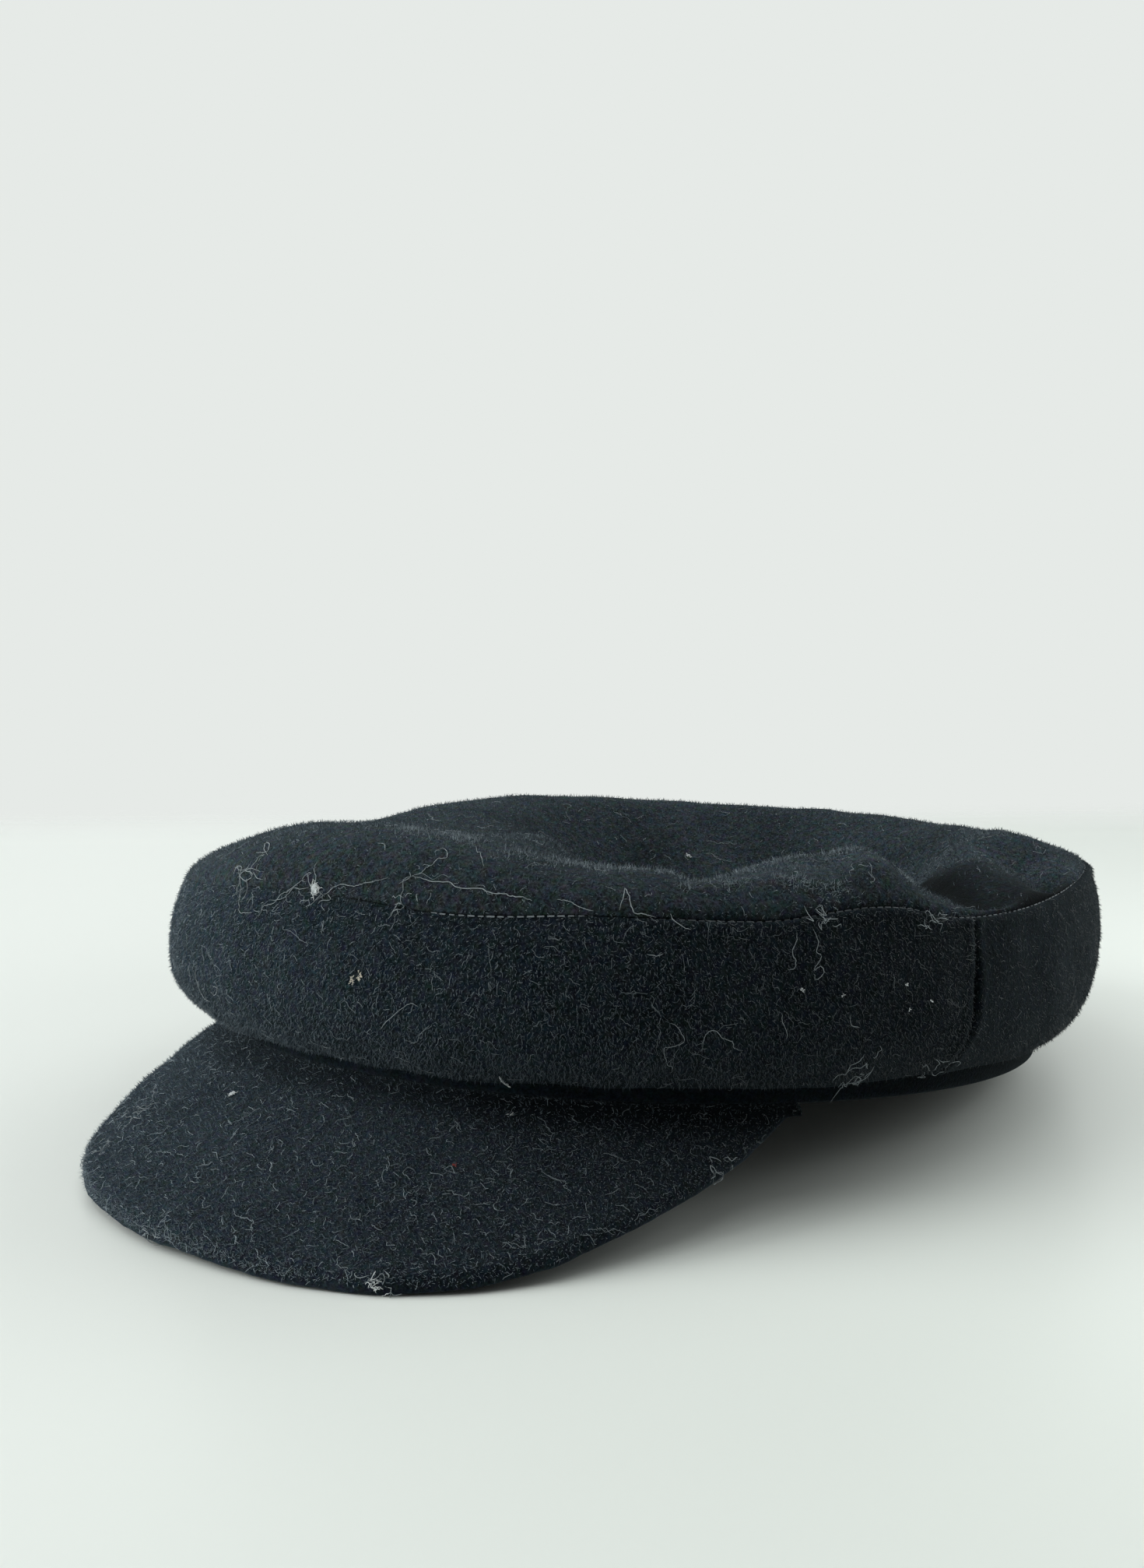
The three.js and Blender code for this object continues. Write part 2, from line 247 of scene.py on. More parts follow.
gap = 0.3
cloth = 2.2
headband = {"halfWidth": 86, "halfLength": 101, "flare": 1, "height": 9, "wall": 3}
hem = {"halfWidth": 89.6, "halfLength": 103.4, "tuck": 0.8}
bulge = {"halfWidth": 98.3, "halfLength": 116.2, "share": 0.55, "above": 2, "below": 2.8}
seam = {"halfWidth": 96.6, "halfLength": 109.6, "centreY": -2.5}
bowl = {"x": 22, "y": 15.5, "floor": 25, "early": 0.15}
sideSeamAngle = 76
# The peak is thinner over the last of its angle, and its edge has two corners near the table: one a share of
# its thickness down, the other on its underside and a share of its thickness further in.
peak = {
    "halfAngle": 57.5, "slope": 31, "endSlope": 38, "thickness": 3, "ledge": 2.8, "tip": 1.5,
    "thinFrom": 0.84, "endThin": 0.3, "cornerDown": 0.7, "cornerIn": 0.3,
}

# Heights round the crown: the seam under the top panel, the puffed rim's crest and its place from the bowl's
# middle (0) to the seam (1), where the drop into the bowl starts and ends, and the side's lower edge.
crownColumns = ("angle", "seam", "crest", "crestAt", "bowlFrom", "bowlTo", "hem")
crownRows = (
    (-180, 41.5, 47.0, 0.86, 0.00, 0.55, 4.5),
    (-150, 40.8, 46.3, 0.86, 0.00, 0.50, 4.5),
    (-125, 39.0, 46.0, 0.86, 0.00, 0.45, 4.5),
    (-108, 36.8, 44.3, 0.86, 0.05, 0.55, 4.4),
    (-90, 34.0, 39.2, 0.83, 0.28, 0.69, 3.4),
    (-70, 31.0, 38.9, 0.75, 0.34, 0.66, 2.5),
    (-45, 30.3, 42.3, 0.72, 0.36, 0.67, 1.7),
    (-25, 32.0, 45.1, 0.80, 0.41, 0.70, 2.0),
    (-8, 34.5, 47.0, 0.86, 0.40, 0.70, 2.7),
    (5, 35.0, 47.4, 0.86, 0.25, 0.65, 2.8),
    (13, 34.3, 46.5, 0.86, 0.12, 0.60, 2.6),
    (21, 34.7, 44.4, 0.86, 0.04, 0.55, 2.7),
    (30, 36.0, 43.6, 0.86, 0.00, 0.50, 3.5),
    (36, 36.2, 43.5, 0.86, 0.00, 0.50, 3.8),
    (40, 36.2, 42.4, 0.84, 0.00, 0.50, 3.9),
    (45, 36.2, 44.6, 0.80, 0.00, 0.50, 4.0),
    (51, 36.6, 46.3, 0.78, 0.00, 0.50, 4.0),
    (57, 38.2, 47.3, 0.78, 0.00, 0.50, 4.0),
    (62, 39.3, 48.2, 0.80, 0.00, 0.50, 4.4),
    (67, 39.0, 45.2, 0.80, 0.00, 0.45, 4.7),
    (71, 37.6, 42.0, 0.81, 0.00, 0.45, 4.8),
    (75, 37.0, 41.4, 0.82, 0.00, 0.50, 4.9),
    (80, 37.2, 42.0, 0.80, 0.00, 0.60, 5.0),
    (86, 37.9, 43.0, 0.77, 0.00, 0.70, 5.0),
    (95, 39.8, 44.9, 0.74, 0.00, 0.70, 5.0),
    (103, 41.7, 46.3, 0.72, 0.00, 0.65, 4.9),
    (112, 43.3, 47.2, 0.72, 0.00, 0.65, 4.8),
    (130, 43.5, 47.3, 0.74, 0.00, 0.57, 4.5),
    (155, 42.5, 46.7, 0.82, 0.00, 0.53, 4.5),
)
peakColumns = ("angle", "reach")
peakRows = (
    (-57.5, 0), (-48, 7.6), (-41, 16.6), (-34, 26.2), (-27, 36.7), (-20, 42.8), (-10, 46.9), (0, 48.5),
    (10, 49.4), (18, 47.4), (27, 40.0), (34, 30.0), (41, 20.2), (48, 10.6), (57.5, 0),
)

# Folds of the top panel in plan, each a soft ridge or a furrow (negative height) along a line.
foldColumns = ("fromX", "fromY", "toX", "toY", "height", "width")
folds = {
    "bowl shoulder": (-46, 0, -10, -38, 0.8, 4),
    "front left hollow": (-50, -32, 0, -72, -3, 8),
    "hollow behind the crescent": (56, -66, 72, -50, -1.4, 4),
    "crescent": (60, -80, 82, -58, 0.8, 2.5),
    "mound behind the valley": (66, 30, 46, 49, 2.6, 7),
    "pit at the side seam": (96, 8, 80, 22, -4.5, 4.5),
    "valley at the side seam": (96, -20, 56, 4, -5, 6),
    "ridge beside the valley": (82, -46, 66, -26, 1.5, 3.5),
    "small fold": (78, 34, 62, 52, 1.4, 3.5),
}
foldFade = 0.06  # share of the top, from the seam in, over which its folds die out

# Painted shade and light on the top panel, each along a line in plan: its hollows, where shade falls, are
# painted darker, and where the share is negative, its lit tops are painted paler.
paintedShadingColumns = ("fromX", "fromY", "toX", "toY", "share", "width")
paintedShadingLines = {
    "floor of the valley": (62, 12, 86, -13, 0.93, 4),
    "side of the mound": (76, 6, 90, -2, 0.45, 5),
    "floor of the pit": (97, -8, 96, 12, 0.93, 5),
    "under the bowl's shoulder": (-34, 12, 6, -30, 0.4, 14),
    "top of the mound": (69, 18, 90, 24, -0.45, 6),
    "crest at the front left": (62, -57, 78, -44, -0.5, 4),
}


def readRound(columns, rows, column, angle):
    # a table's column at any angle, on a smooth curve that closes round the head
    at = np.array([row[0] for row in rows], float)
    value = np.array([row[columns.index(column)] for row in rows], float)
    at = np.concatenate([at[-2:] - fullTurn, at, at[:2] + fullTurn])
    value = np.concatenate([value[-2:], value, value[:2]])
    secant = np.diff(value) / np.diff(at)
    slope = np.concatenate([[0], (secant[:-1] + secant[1:]) / 2, [0]])
    turned = (angle - rows[0][0]) % fullTurn + rows[0][0]
    start = np.clip(np.searchsorted(at, turned, side="right") - 1, 1, len(at) - 3)
    span = at[start + 1] - at[start]
    share = (turned - at[start]) / span
    change = value[start + 1] - value[start]
    leave = slope[start] * span
    arrive = slope[start + 1] * span
    square = share * share
    cube = square * share
    bend = (3 * change - 2 * leave - arrive) * square + (leave + arrive - 2 * change) * cube
    return value[start] + leave * share + bend


def ease(share):
    return (1 - np.cos(np.pi * np.clip(share, 0, 1))) / 2


def between(angle, span):
    # 1 between two angles, fading to 0 at them
    return ease((angle - span["from"]) / span["fade"]) * ease((span["to"] - angle) / span["fade"])


def mix(first, second, share):
    return first + (second - first) * share


def stack(x, y, z):
    return np.stack(np.broadcast_arrays(x, y, z), -1)


def onEllipse(ring, angle, z):
    turn = np.radians(angle)
    across = ring["halfWidth"] * np.sin(turn)
    return stack(across, ring.get("centreY", 0) - ring["halfLength"] * np.cos(turn), z)


def outOfBand(angle):
    turn = np.radians(angle)
    out = stack(np.sin(turn) / headband["halfWidth"], -np.cos(turn) / headband["halfLength"], 0 * turn)
    return out / np.linalg.norm(out, axis=-1, keepdims=True)


def onBand(angle, z, distance=0):
    widened = headband["flare"] * z / headband["height"] + distance
    return onEllipse(headband, angle, z) + outOfBand(angle) * np.asarray(widened)[..., None]


def nearLine(x, y, fromX, fromY, toX, toY, wide):
    # 1 on a line in plan, and less and less away from it
    alongX, alongY = toX - fromX, toY - fromY
    share = ((x - fromX) * alongX + (y - fromY) * alongY) / (alongX**2 + alongY**2)
    share = np.clip(share, 0, 1)
    away = np.hypot(x - fromX - share * alongX, y - fromY - share * alongY)
    return np.exp(-((away / wide) ** 2) / 2)


def foldHeight(x, y):
    height = 0
    for *line, tall, wide in folds.values():
        height = height + tall * nearLine(x, y, *line, wide)
    return height


def paintedShadingAlongLines(x, y):
    paintedShading = 1
    for *line, share, wide in paintedShadingLines.values():
        paintedShading = paintedShading * (1 - share * nearLine(x, y, *line, wide))
    return paintedShading


# The rim rises in a round curve, power 0.5, and in a slacker one about two angles: at and width of each.
rimCurve = {"round": 0.5, "slack": 0.25, "about": ((-62, 45), (128, 30))}


def rimPower(angle):
    slack = 0
    for middle, wide in rimCurve["about"]:
        away = (angle - middle + fullTurn / 2) % fullTurn - fullTurn / 2
        slack = np.maximum(slack, np.exp(-((away / wide) ** 2)))
    return rimCurve["round"] + rimCurve["slack"] * slack


def topPoint(angle, reach):
    seamHeight, crest, crestAt, bowlFrom, bowlTo = (
        readRound(crownColumns, crownRows, column, angle) for column in crownColumns[1:6]
    )
    plan = mix(np.array([bowl["x"], bowl["y"], 0.0]), onEllipse(seam, angle, 0), reach[..., None])
    toCrest = np.clip((1 - reach) / (1 - crestAt), 0, 1)
    rim = mix(seamHeight + gap / 2, crest, (1 - (1 - toCrest) ** 2) ** rimPower(angle))
    toMiddle = (crestAt - reach) / crestAt
    early = ease(toMiddle / bowlTo)
    late = ease((toMiddle - bowlFrom) / (bowlTo - bowlFrom))
    sunk = mix(crest, bowl["floor"], mix(late, early, bowl["early"]))
    height = np.where(reach > crestAt, rim, sunk)
    height = height + foldHeight(plan[..., 0], plan[..., 1]) * ease((1 - reach) / foldFade)
    return stack(plan[..., 0], plan[..., 1], height)


def sidePoint(angle, drop):
    top = readRound(crownColumns, crownRows, "seam", angle) - gap / 2
    low = readRound(crownColumns, crownRows, "hem", angle)
    z = mix(top, low, drop)
    widest = mix(low, top, bulge["share"])
    up = np.clip((z - widest) / (top - widest), 0, 1)[..., None]
    down = np.clip((widest - z) / (widest - low), 0, 1)[..., None]
    middle = onEllipse(bulge, angle, z)
    above = mix(middle, onEllipse(seam, angle, z), up ** bulge["above"])
    below = mix(middle, onEllipse(hem, angle, z), down ** bulge["below"])
    return np.where(up > 0, above, below)


def peakPoint(angle, out, sunk):
    # out is the distance from the headband down the slope; sunk is 0 on the upper face and 1 on the lower
    fall = np.radians(mix(peak["slope"], peak["endSlope"], (angle / peak["halfAngle"]) ** 2))
    toEnd = (np.abs(angle) / peak["halfAngle"] - peak["thinFrom"]) / (1 - peak["thinFrom"])
    thin = mix(1, peak["endThin"], ease(toEnd))
    depth = thin * peak["thickness"] / np.cos(fall)
    z = -gap - out * np.sin(fall) - sunk * depth
    return onEllipse(headband, angle, z) + outOfBand(angle) * (out * np.cos(fall))[..., None]


def peakReach(angle):
    return np.maximum(readRound(peakColumns, peakRows, "reach", angle), peak["tip"])


def restingTilt():
    # the tilt at which the peak's edge comes down on the table beside the back of the headband
    angle = np.linspace(-peak["halfAngle"], peak["halfAngle"], 400)
    reach = peakReach(angle)
    edge = peakPoint(angle, reach, peak["cornerDown"])
    under = peakPoint(angle, reach - peak["cornerIn"] * peak["thickness"], 1)
    low = np.concatenate([edge, under])
    return np.arctan2(-low[:, 2], headband["halfLength"] - low[:, 1]).max()


tilt = restingTilt()


def lean(points):
    # from the cap's own frame to the tilt that it rests at, without the shift
    y = points[..., 1] * math.cos(tilt) + points[..., 2] * math.sin(tilt)
    z = -points[..., 1] * math.sin(tilt) + points[..., 2] * math.cos(tilt)
    return stack(points[..., 0], y, z)


def restingShift():
    angle, height = np.meshgrid(np.linspace(-180, 180, 361), [0, headband["height"]])
    band = lean(onBand(angle, height)).reshape(-1, 3)
    return np.array(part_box("headband")[0]) / millimetre - band.min(0)


shift = restingShift()
print("tilt", round(math.degrees(tilt), 3), "shift", shift.round(3))


waveSpread = (0.7, 1.4)


def softNoise(points, wavelength, waves, seed):
    # smooth bumps of about unit height, from waves that run in random directions
    random = np.random.default_rng(seed)
    heading = random.normal(size=(waves, 3))
    heading /= np.linalg.norm(heading, axis=1, keepdims=True)
    lengths = wavelength * random.uniform(*waveSpread, waves)
    phase = random.uniform(0, 2 * np.pi, waves)
    return np.sin(points @ heading.T * 2 * np.pi / lengths + phase).sum(-1) * math.sqrt(2 / waves)


def outwardNormals(grid, closed, sample, outward):
    # unit normals of a grid of points, on the side that faces outward at the sample, a row and a column
    rows = np.gradient(grid, axis=0)
    if closed:
        columns = (np.roll(grid, -1, axis=1) - np.roll(grid, 1, axis=1)) / 2
    else:
        columns = np.gradient(grid, axis=1)
    square = np.cross(rows, columns)
    square /= np.linalg.norm(square, axis=-1, keepdims=True) + tiny
    return square if square[sample] @ outward > 0 else -square


clothWaves = 28


def clothSwell(points, look, seed):
    # long soft ripples and a fine pucker, out of the cloth
    swell = look["ripple"] * softNoise(points, look["rippleLength"], clothWaves, seed)
    return swell + look["pucker"] * softNoise(points, look["puckerLength"], clothWaves, seed + 1)


def gridFaces(rows, columns, closed, first=0):
    across = columns if closed else columns - 1
    row, column = np.meshgrid(np.arange(rows - 1), np.arange(across), indexing="ij")
    after = (column + 1) % columns
    here = row * columns
    ahead = here + columns
    return np.stack([here + column, here + after, ahead + after, ahead + column], -1).reshape(-1, 4) + first


clearOfTable = 1.8  # height over the table that the nap keeps off


def addMark(mesh, label, values):
    mark = mesh.attributes.new(label, "FLOAT", "POINT")
    mark.data.foreach_set("value", np.asarray(values, np.float32))


def joinedMesh(name, points, faces, outside, dusty, joins=0):
    # points are in the cap's own frame; outside is 1 on the faces that show and 0 on the lining side and by
    # the table; dusty is painted shade and light that scales the cloth's colour and nap, 1 being
    # the usual; the last faces, as many as joins, run between the outer and the lining side and are left
    # crisp
    placed = lean(points) + shift
    mesh = bpy.data.meshes.new(name)
    mesh.from_pydata((placed * millimetre).tolist(), [], [list(face) for face in faces])
    mesh.validate()
    outside = np.where(placed[:, 2] < clearOfTable, 0, outside)
    addMark(mesh, "outside", outside)
    addMark(mesh, "dusty", dusty)
    smooth = np.ones(len(mesh.polygons), bool)
    smooth[len(smooth) - joins:] = False
    mesh.polygons.foreach_set("use_smooth", smooth)
    piece = bpy.data.objects.new(name, mesh)
    bpy.context.scene.collection.objects.link(piece)
    return piece


def enclosedVolume(mesh):
    mesh.calc_loop_triangles()
    spots = np.array([vertex.co for vertex in mesh.vertices])
    corners = np.array([triangle.vertices for triangle in mesh.loop_triangles])
    a, b, c = spots[corners[:, 0]], spots[corners[:, 1]], spots[corners[:, 2]]
    return np.einsum("ij,ij->i", a, np.cross(b, c)).sum() / 6


def finishPiece(piece, node, material):
    if enclosedVolume(piece.data) < 0:
        piece.data.flip_normals()
    piece.data.materials.append(material)
    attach(piece, "root")
    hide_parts(node)


print("cloth")

# Milled wool melton: woven wool felted until the weave is gone, with a short raised nap. It gives the eye
# a deep, even, matt navy with a fine salt and pepper of fibre tips, and a pale edge where it turns away.
# Painted light: the cloth's colour is scaled along this direction, paler towards the camera's left where the
# windows are.
paintedShading = {"towards": (0.81, 0.58, 0), "from": -120, "to": 90}
melton = {
    "roughness": 0.95, "shine": 0.04, "sheenRoughness": 0.4, "sheenTint": "#98adb8", "bumpStrength": 0.8,
    "fleckShare": 0.35, "patchShare": 0.3, "darkAt": 0.68, "lightAt": 1.05,
    "hueSwing": (1.3, 1.0, 1.2), "hueFloor": (0.35, 0.5, 0.4),
}
# Painted light: the top panel is painted paler than the side panels and the peak, as it faces up into the
# light.
topCloth = {
    "dark": "#101417", "light": "#2e363b", "grain": 0.55, "fleck": 1.6, "patch": 22,
    "bump": 0.35, "sheen": 0.04, "litSideGain": 1.75, "shadedSideGain": 1.25,
}
sideCloth = {
    "dark": "#080e12", "light": "#222b32", "grain": 0.55, "fleck": 1.6, "patch": 22,
    "bump": 0.35, "sheen": 0.12, "litSideGain": 1.85, "shadedSideGain": 0.36,
}
peakCloth = {
    "dark": "#080c11", "light": "#1e252b", "grain": 0.5, "fleck": 1.3, "patch": 26,
    "bump": 0.3, "sheen": 0.2, "litSideGain": 2.35, "shadedSideGain": 0.36,
}


def windowSidePaintedLight(tree, place, colour, look):
    # painted light: the wool is painted paler towards the wearer's right and front, the side the window light
    # falls on, and darker round to the back on the left
    across = addNode(tree, "ShaderNodeVectorMath", {".operation": "DOT_PRODUCT", 1: paintedShading["towards"]}, {
        0: place.outputs["Object"],
    })
    share = addNode(tree, "ShaderNodeMapRange", {
        ".interpolation_type": "SMOOTHSTEP",
        "From Min": paintedShading["from"] * millimetre, "From Max": paintedShading["to"] * millimetre,
        "To Min": look["litSideGain"], "To Max": look["shadedSideGain"],
    }, {"Value": across})
    scaled = addNode(tree, "ShaderNodeVectorMath", {".operation": "SCALE"}, {
        0: colour, "Scale": share,
    })
    return scaled.outputs["Vector"]


def makeMelton(name, look):
    material = bpy.data.materials.new(name)
    material.use_nodes = True
    tree = material.node_tree
    shader = tree.nodes["Principled BSDF"]
    shader.inputs["Roughness"].default_value = melton["roughness"]
    shader.inputs["Specular IOR Level"].default_value = melton["shine"]
    shader.inputs["Sheen Weight"].default_value = look["sheen"]
    shader.inputs["Sheen Roughness"].default_value = melton["sheenRoughness"]
    shader.inputs["Sheen Tint"].default_value = asLinear(melton["sheenTint"])
    place = addNode(tree, "ShaderNodeTexCoord")
    grain = addNode(tree, "ShaderNodeTexNoise", {
        "Scale": 1 / (look["grain"] * millimetre), "Detail": 2.0, "Roughness": 0.6, "Distortion": 0.6,
    }, {"Vector": place.outputs["Object"]})
    fleck = addNode(tree, "ShaderNodeTexNoise", {
        "Scale": 1 / (look["fleck"] * millimetre), "Detail": 3.0, "Roughness": 0.7, "Distortion": 1.2,
    }, {"Vector": place.outputs["Object"]})
    patch = addNode(tree, "ShaderNodeTexNoise", {
        "Scale": 1 / (look["patch"] * millimetre), "Detail": 2.0, "Roughness": 0.5,
    }, {"Vector": place.outputs["Object"]})
    both = addNode(tree, "ShaderNodeMath", {".operation": "MULTIPLY_ADD", 1: melton["fleckShare"]}, {
        0: fleck, 2: grain,
    })
    mottled = addNode(tree, "ShaderNodeMath", {".operation": "MULTIPLY_ADD", 1: melton["patchShare"]}, {
        0: patch, 2: both,
    })
    ramp = addNode(tree, "ShaderNodeMapRange", {
        "From Min": melton["darkAt"], "From Max": melton["lightAt"],
    }, {"Value": mottled})
    colour = addNode(tree, "ShaderNodeMix", {
        ".data_type": "RGBA", 6: asLinear(look["dark"]), 7: asLinear(look["light"]),
    }, {0: ramp})
    # wool dyed in the fleece: its fibres differ a little in hue
    hue = addNode(tree, "ShaderNodeTexNoise", {"Scale": 1 / (look["fleck"] * millimetre), "Detail": 2.0}, {
        "Vector": place.outputs["Object"],
    })
    tint = addNode(tree, "ShaderNodeVectorMath", {
        ".operation": "MULTIPLY_ADD", 1: melton["hueSwing"], 2: melton["hueFloor"],
    }, {0: hue.outputs["Color"]})
    tinted = addNode(tree, "ShaderNodeVectorMath", {".operation": "MULTIPLY"}, {0: colour, 1: tint})
    # painted shade and light, held on the mesh, scale the colour
    held = addNode(tree, "ShaderNodeAttribute", {".attribute_name": "dusty"})
    paintedShadeColour = addNode(tree, "ShaderNodeVectorMath", {".operation": "SCALE"}, {
        0: tinted, "Scale": held.outputs["Fac"],
    })
    tree.links.new(windowSidePaintedLight(tree, place, paintedShadeColour, look), shader.inputs["Base Color"])
    bump = addNode(tree, "ShaderNodeBump", {
        "Strength": melton["bumpStrength"], "Distance": look["bump"] * millimetre,
    }, {"Height": both})
    tree.links.new(bump.outputs["Normal"], shader.inputs["Normal"])
    return material


topMelton = makeMelton("milled wool melton, top panel", topCloth)
sideMelton = makeMelton("milled wool melton, side panels", sideCloth)
peakMelton = makeMelton("milled wool melton, drawn over the peak", peakCloth)


print("top panel")

# Rubbed edges, where pale fibres stand: the top panel's crest, from the front's middle round to an angle on
# the wearer's left, two lines on it, and the peak's rim between two angles. On the crest and the two lines
# the fibres' paleness is partly a painted highlight of the light that grazes them. The crest's angles start
# at 0, so a fade that starts before that leaves the pale fibres full in the middle. The patches break it up.
fuzzAndHighlight = {
    "from": -40, "to": 80, "fade": 25, "width": 0.03, "lineWidth": 1.0,
    "patch": 9, "patchMean": 0.6, "patchSwing": 0.4, "patchWaves": 20, "patchSeed": 8,
}
fuzzAndHighlightLines = {"crescent": (60, -80, 82, -58), "ridge beside the valley": (84, -38, 72, -20)}
rimFuzz = {"from": -50, "to": 20, "fade": 15, "share": 0.6, "rows": 2.5}
# The seam lies flat up to one angle and stands out past the next, round to the other side seam; between the
# last two it is drawn shut, by a share of its gap.
seamLook = {"from": 33, "to": 42, "shutFrom": -100, "shutTo": 8, "shutFade": 12, "drawn": 0.9}
stillNear = 5  # width beside the seam over which the ripples die out
topPanel = {
    "stations": 480, "rimRings": 36, "bowlRings": 44, "innerRings": 14, "sample": (5, 0),
    "ripple": 0.14, "rippleLength": 18, "pucker": 0.04, "puckerLength": 4.5, "seed": 3,
    "tuckIn": 0.9, "flatTuck": 0.1, "tuckWidth": 1.6, "bowlNapAndShade": 1.05, "bowlNapAndShadeFade": 0.15,
    "allowanceIn": 0.6, "allowanceDown": 2.5,
}


def topGrid(reachRows):
    # rows run from the seam to the bowl's middle
    angle, share = np.meshgrid(np.arange(topPanel["stations"]) * fullTurn / topPanel["stations"], reachRows)
    crestAt = readRound(crownColumns, crownRows, "crestAt", angle)
    onRim = mix(1, crestAt, 1 - np.cos(np.clip(share, 0, 1) * np.pi / 2))
    inBowl = crestAt * (1 - np.clip(share - 1, 0, 1))
    reach = np.where(share <= 1, onRim, inBowl)
    return topPoint(angle, reach), angle, reach


def seamMark(angle):
    # 0 where the seam lies flat and 1 where it stands out
    turned = angle % fullTurn
    width = seamLook["to"] - seamLook["from"]
    return ease((turned - seamLook["from"]) / width) * ease((fullTurn - sideSeamAngle - turned) / width)


def makeTopPanel():
    rim = np.linspace(0, 1, topPanel["rimRings"])
    inBowl = np.linspace(1, 2, topPanel["bowlRings"] + 1)[1:-1]
    outer, angle, reach = topGrid(np.concatenate([rim, inBowl]))
    square = outwardNormals(outer, True, topPanel["sample"], upward)
    toSeam = np.linalg.norm(outer - outer[:1], axis=-1)
    swell = clothSwell(outer, topPanel, topPanel["seed"]) * ease(toSeam / stillNear)
    outer = outer + square * swell[..., None]
    tuck = mix(topPanel["flatTuck"], topPanel["tuckIn"], seamMark(angle))
    outer = outer - square * (tuck * np.exp(-((toSeam / topPanel["tuckWidth"]) ** 2)))[..., None]
    inner, _, _ = topGrid(np.linspace(0, 2, topPanel["innerRings"] + 1)[:-1])
    inner = inner - outwardNormals(inner, True, topPanel["sample"], upward) * cloth
    # the seam allowance hangs down inside the side panels, so no light comes through the seam
    inner[0] -= outOfBand(angle[0]) * topPanel["allowanceIn"]
    inner[0, :, 2] = readRound(crownColumns, crownRows, "seam", angle[0]) - topPanel["allowanceDown"]
    rows, columns = outer.shape[:2]
    innerRows = inner.shape[0]
    middle = topPoint(np.array([0.0]), np.array([0.0]))[0]
    points = np.concatenate([outer.reshape(-1, 3), inner.reshape(-1, 3), [middle, middle - [0, 0, cloth]]])
    outside = np.concatenate([np.ones(rows * columns), np.zeros(innerRows * columns), [1, 0]])
    unmarked = (angle[0] - seamLook["shutFrom"]) % fullTurn < seamLook["shutTo"] - seamLook["shutFrom"]
    outside[:columns] = unmarked
    faces = gridFaces(rows, columns, True).tolist()
    first = rows * columns
    faces += gridFaces(innerRows, columns, True, first)[:, ::-1].tolist()
    here = np.arange(columns)
    after = (here + 1) % columns
    lastOuter = (rows - 1) * columns
    lastInner = first + (innerRows - 1) * columns
    top = len(points) - 2
    faces += np.stack([lastOuter + here, lastOuter + after, 0 * here + top], -1).tolist()
    faces += np.stack([lastInner + after, lastInner + here, 0 * here + top + 1], -1).tolist()
    faces += np.stack([here, first + here, first + after, after], -1).tolist()
    crestAt = readRound(crownColumns, crownRows, "crestAt", angle)
    # painted light and shade: the bowl's colour is scaled a little paler and its nap thickened, then the
    # painted lines apply
    dusty = mix(topPanel["bowlNapAndShade"], 1, ease((reach - crestAt) / topPanel["bowlNapAndShadeFade"] + 1))
    dusty = dusty * paintedShadingAlongLines(outer[..., 0], outer[..., 1])
    dusty = np.concatenate([dusty.ravel(), np.ones(len(points) - dusty.size)])
    piece = joinedMesh("crown_top", points, faces, outside, dusty, joins=columns)
    # partly painted highlight: pale hairs are grown along the crest and the two lines
    ridge = np.exp(-(((reach - crestAt) / fuzzAndHighlight["width"]) ** 2))
    ridge = ridge * between(angle, fuzzAndHighlight)
    for line in fuzzAndHighlightLines.values():
        ridge = np.maximum(ridge, nearLine(outer[..., 0], outer[..., 1], *line, fuzzAndHighlight["lineWidth"]))
    patches = softNoise(outer, fuzzAndHighlight["patch"], fuzzAndHighlight["patchWaves"], fuzzAndHighlight["patchSeed"])
    ridge = ridge * np.clip(fuzzAndHighlight["patchMean"] + fuzzAndHighlight["patchSwing"] * patches, 0, 1)
    addMark(piece.data, "fuzzAndHighlightMark", np.concatenate([ridge.ravel(), np.zeros(len(points) - ridge.size)]))
    finishPiece(piece, "crown_tip", topMelton)
    return piece


crownTop = makeTopPanel()


print("side panels")

sidePanel = {
    "stationsPerDegree": 1.5, "endStations": (0, 0.1, 0.2, 0.32, 0.5, 0.72), "sample": (5, 5),
    "rings": 48, "hemRings": 8, "innerRings": 12,
    "ripple": 0.16, "rippleLength": 18, "pucker": 0.04, "puckerLength": 4.5,
    "lip": 0.6, "lipAt": 0.9, "lipWidth": 1.0,
    "slitFrom": 0.14, "slitTo": 0.58, "slitFade": 0.08, "slitSink": 1.8,
    "seamSink": 0.3, "seamWidth": 0.32, "seamLip": 0.3, "seamLipAt": 1.6, "seamLipWidth": 1.0,
    "hemDrop": 0.4, "hemSkew": 0.6, "hemShade": 0.7, "hemShadeFrom": 0.85,
}
halfGap = math.degrees(gap / 2 / bulge["halfWidth"])


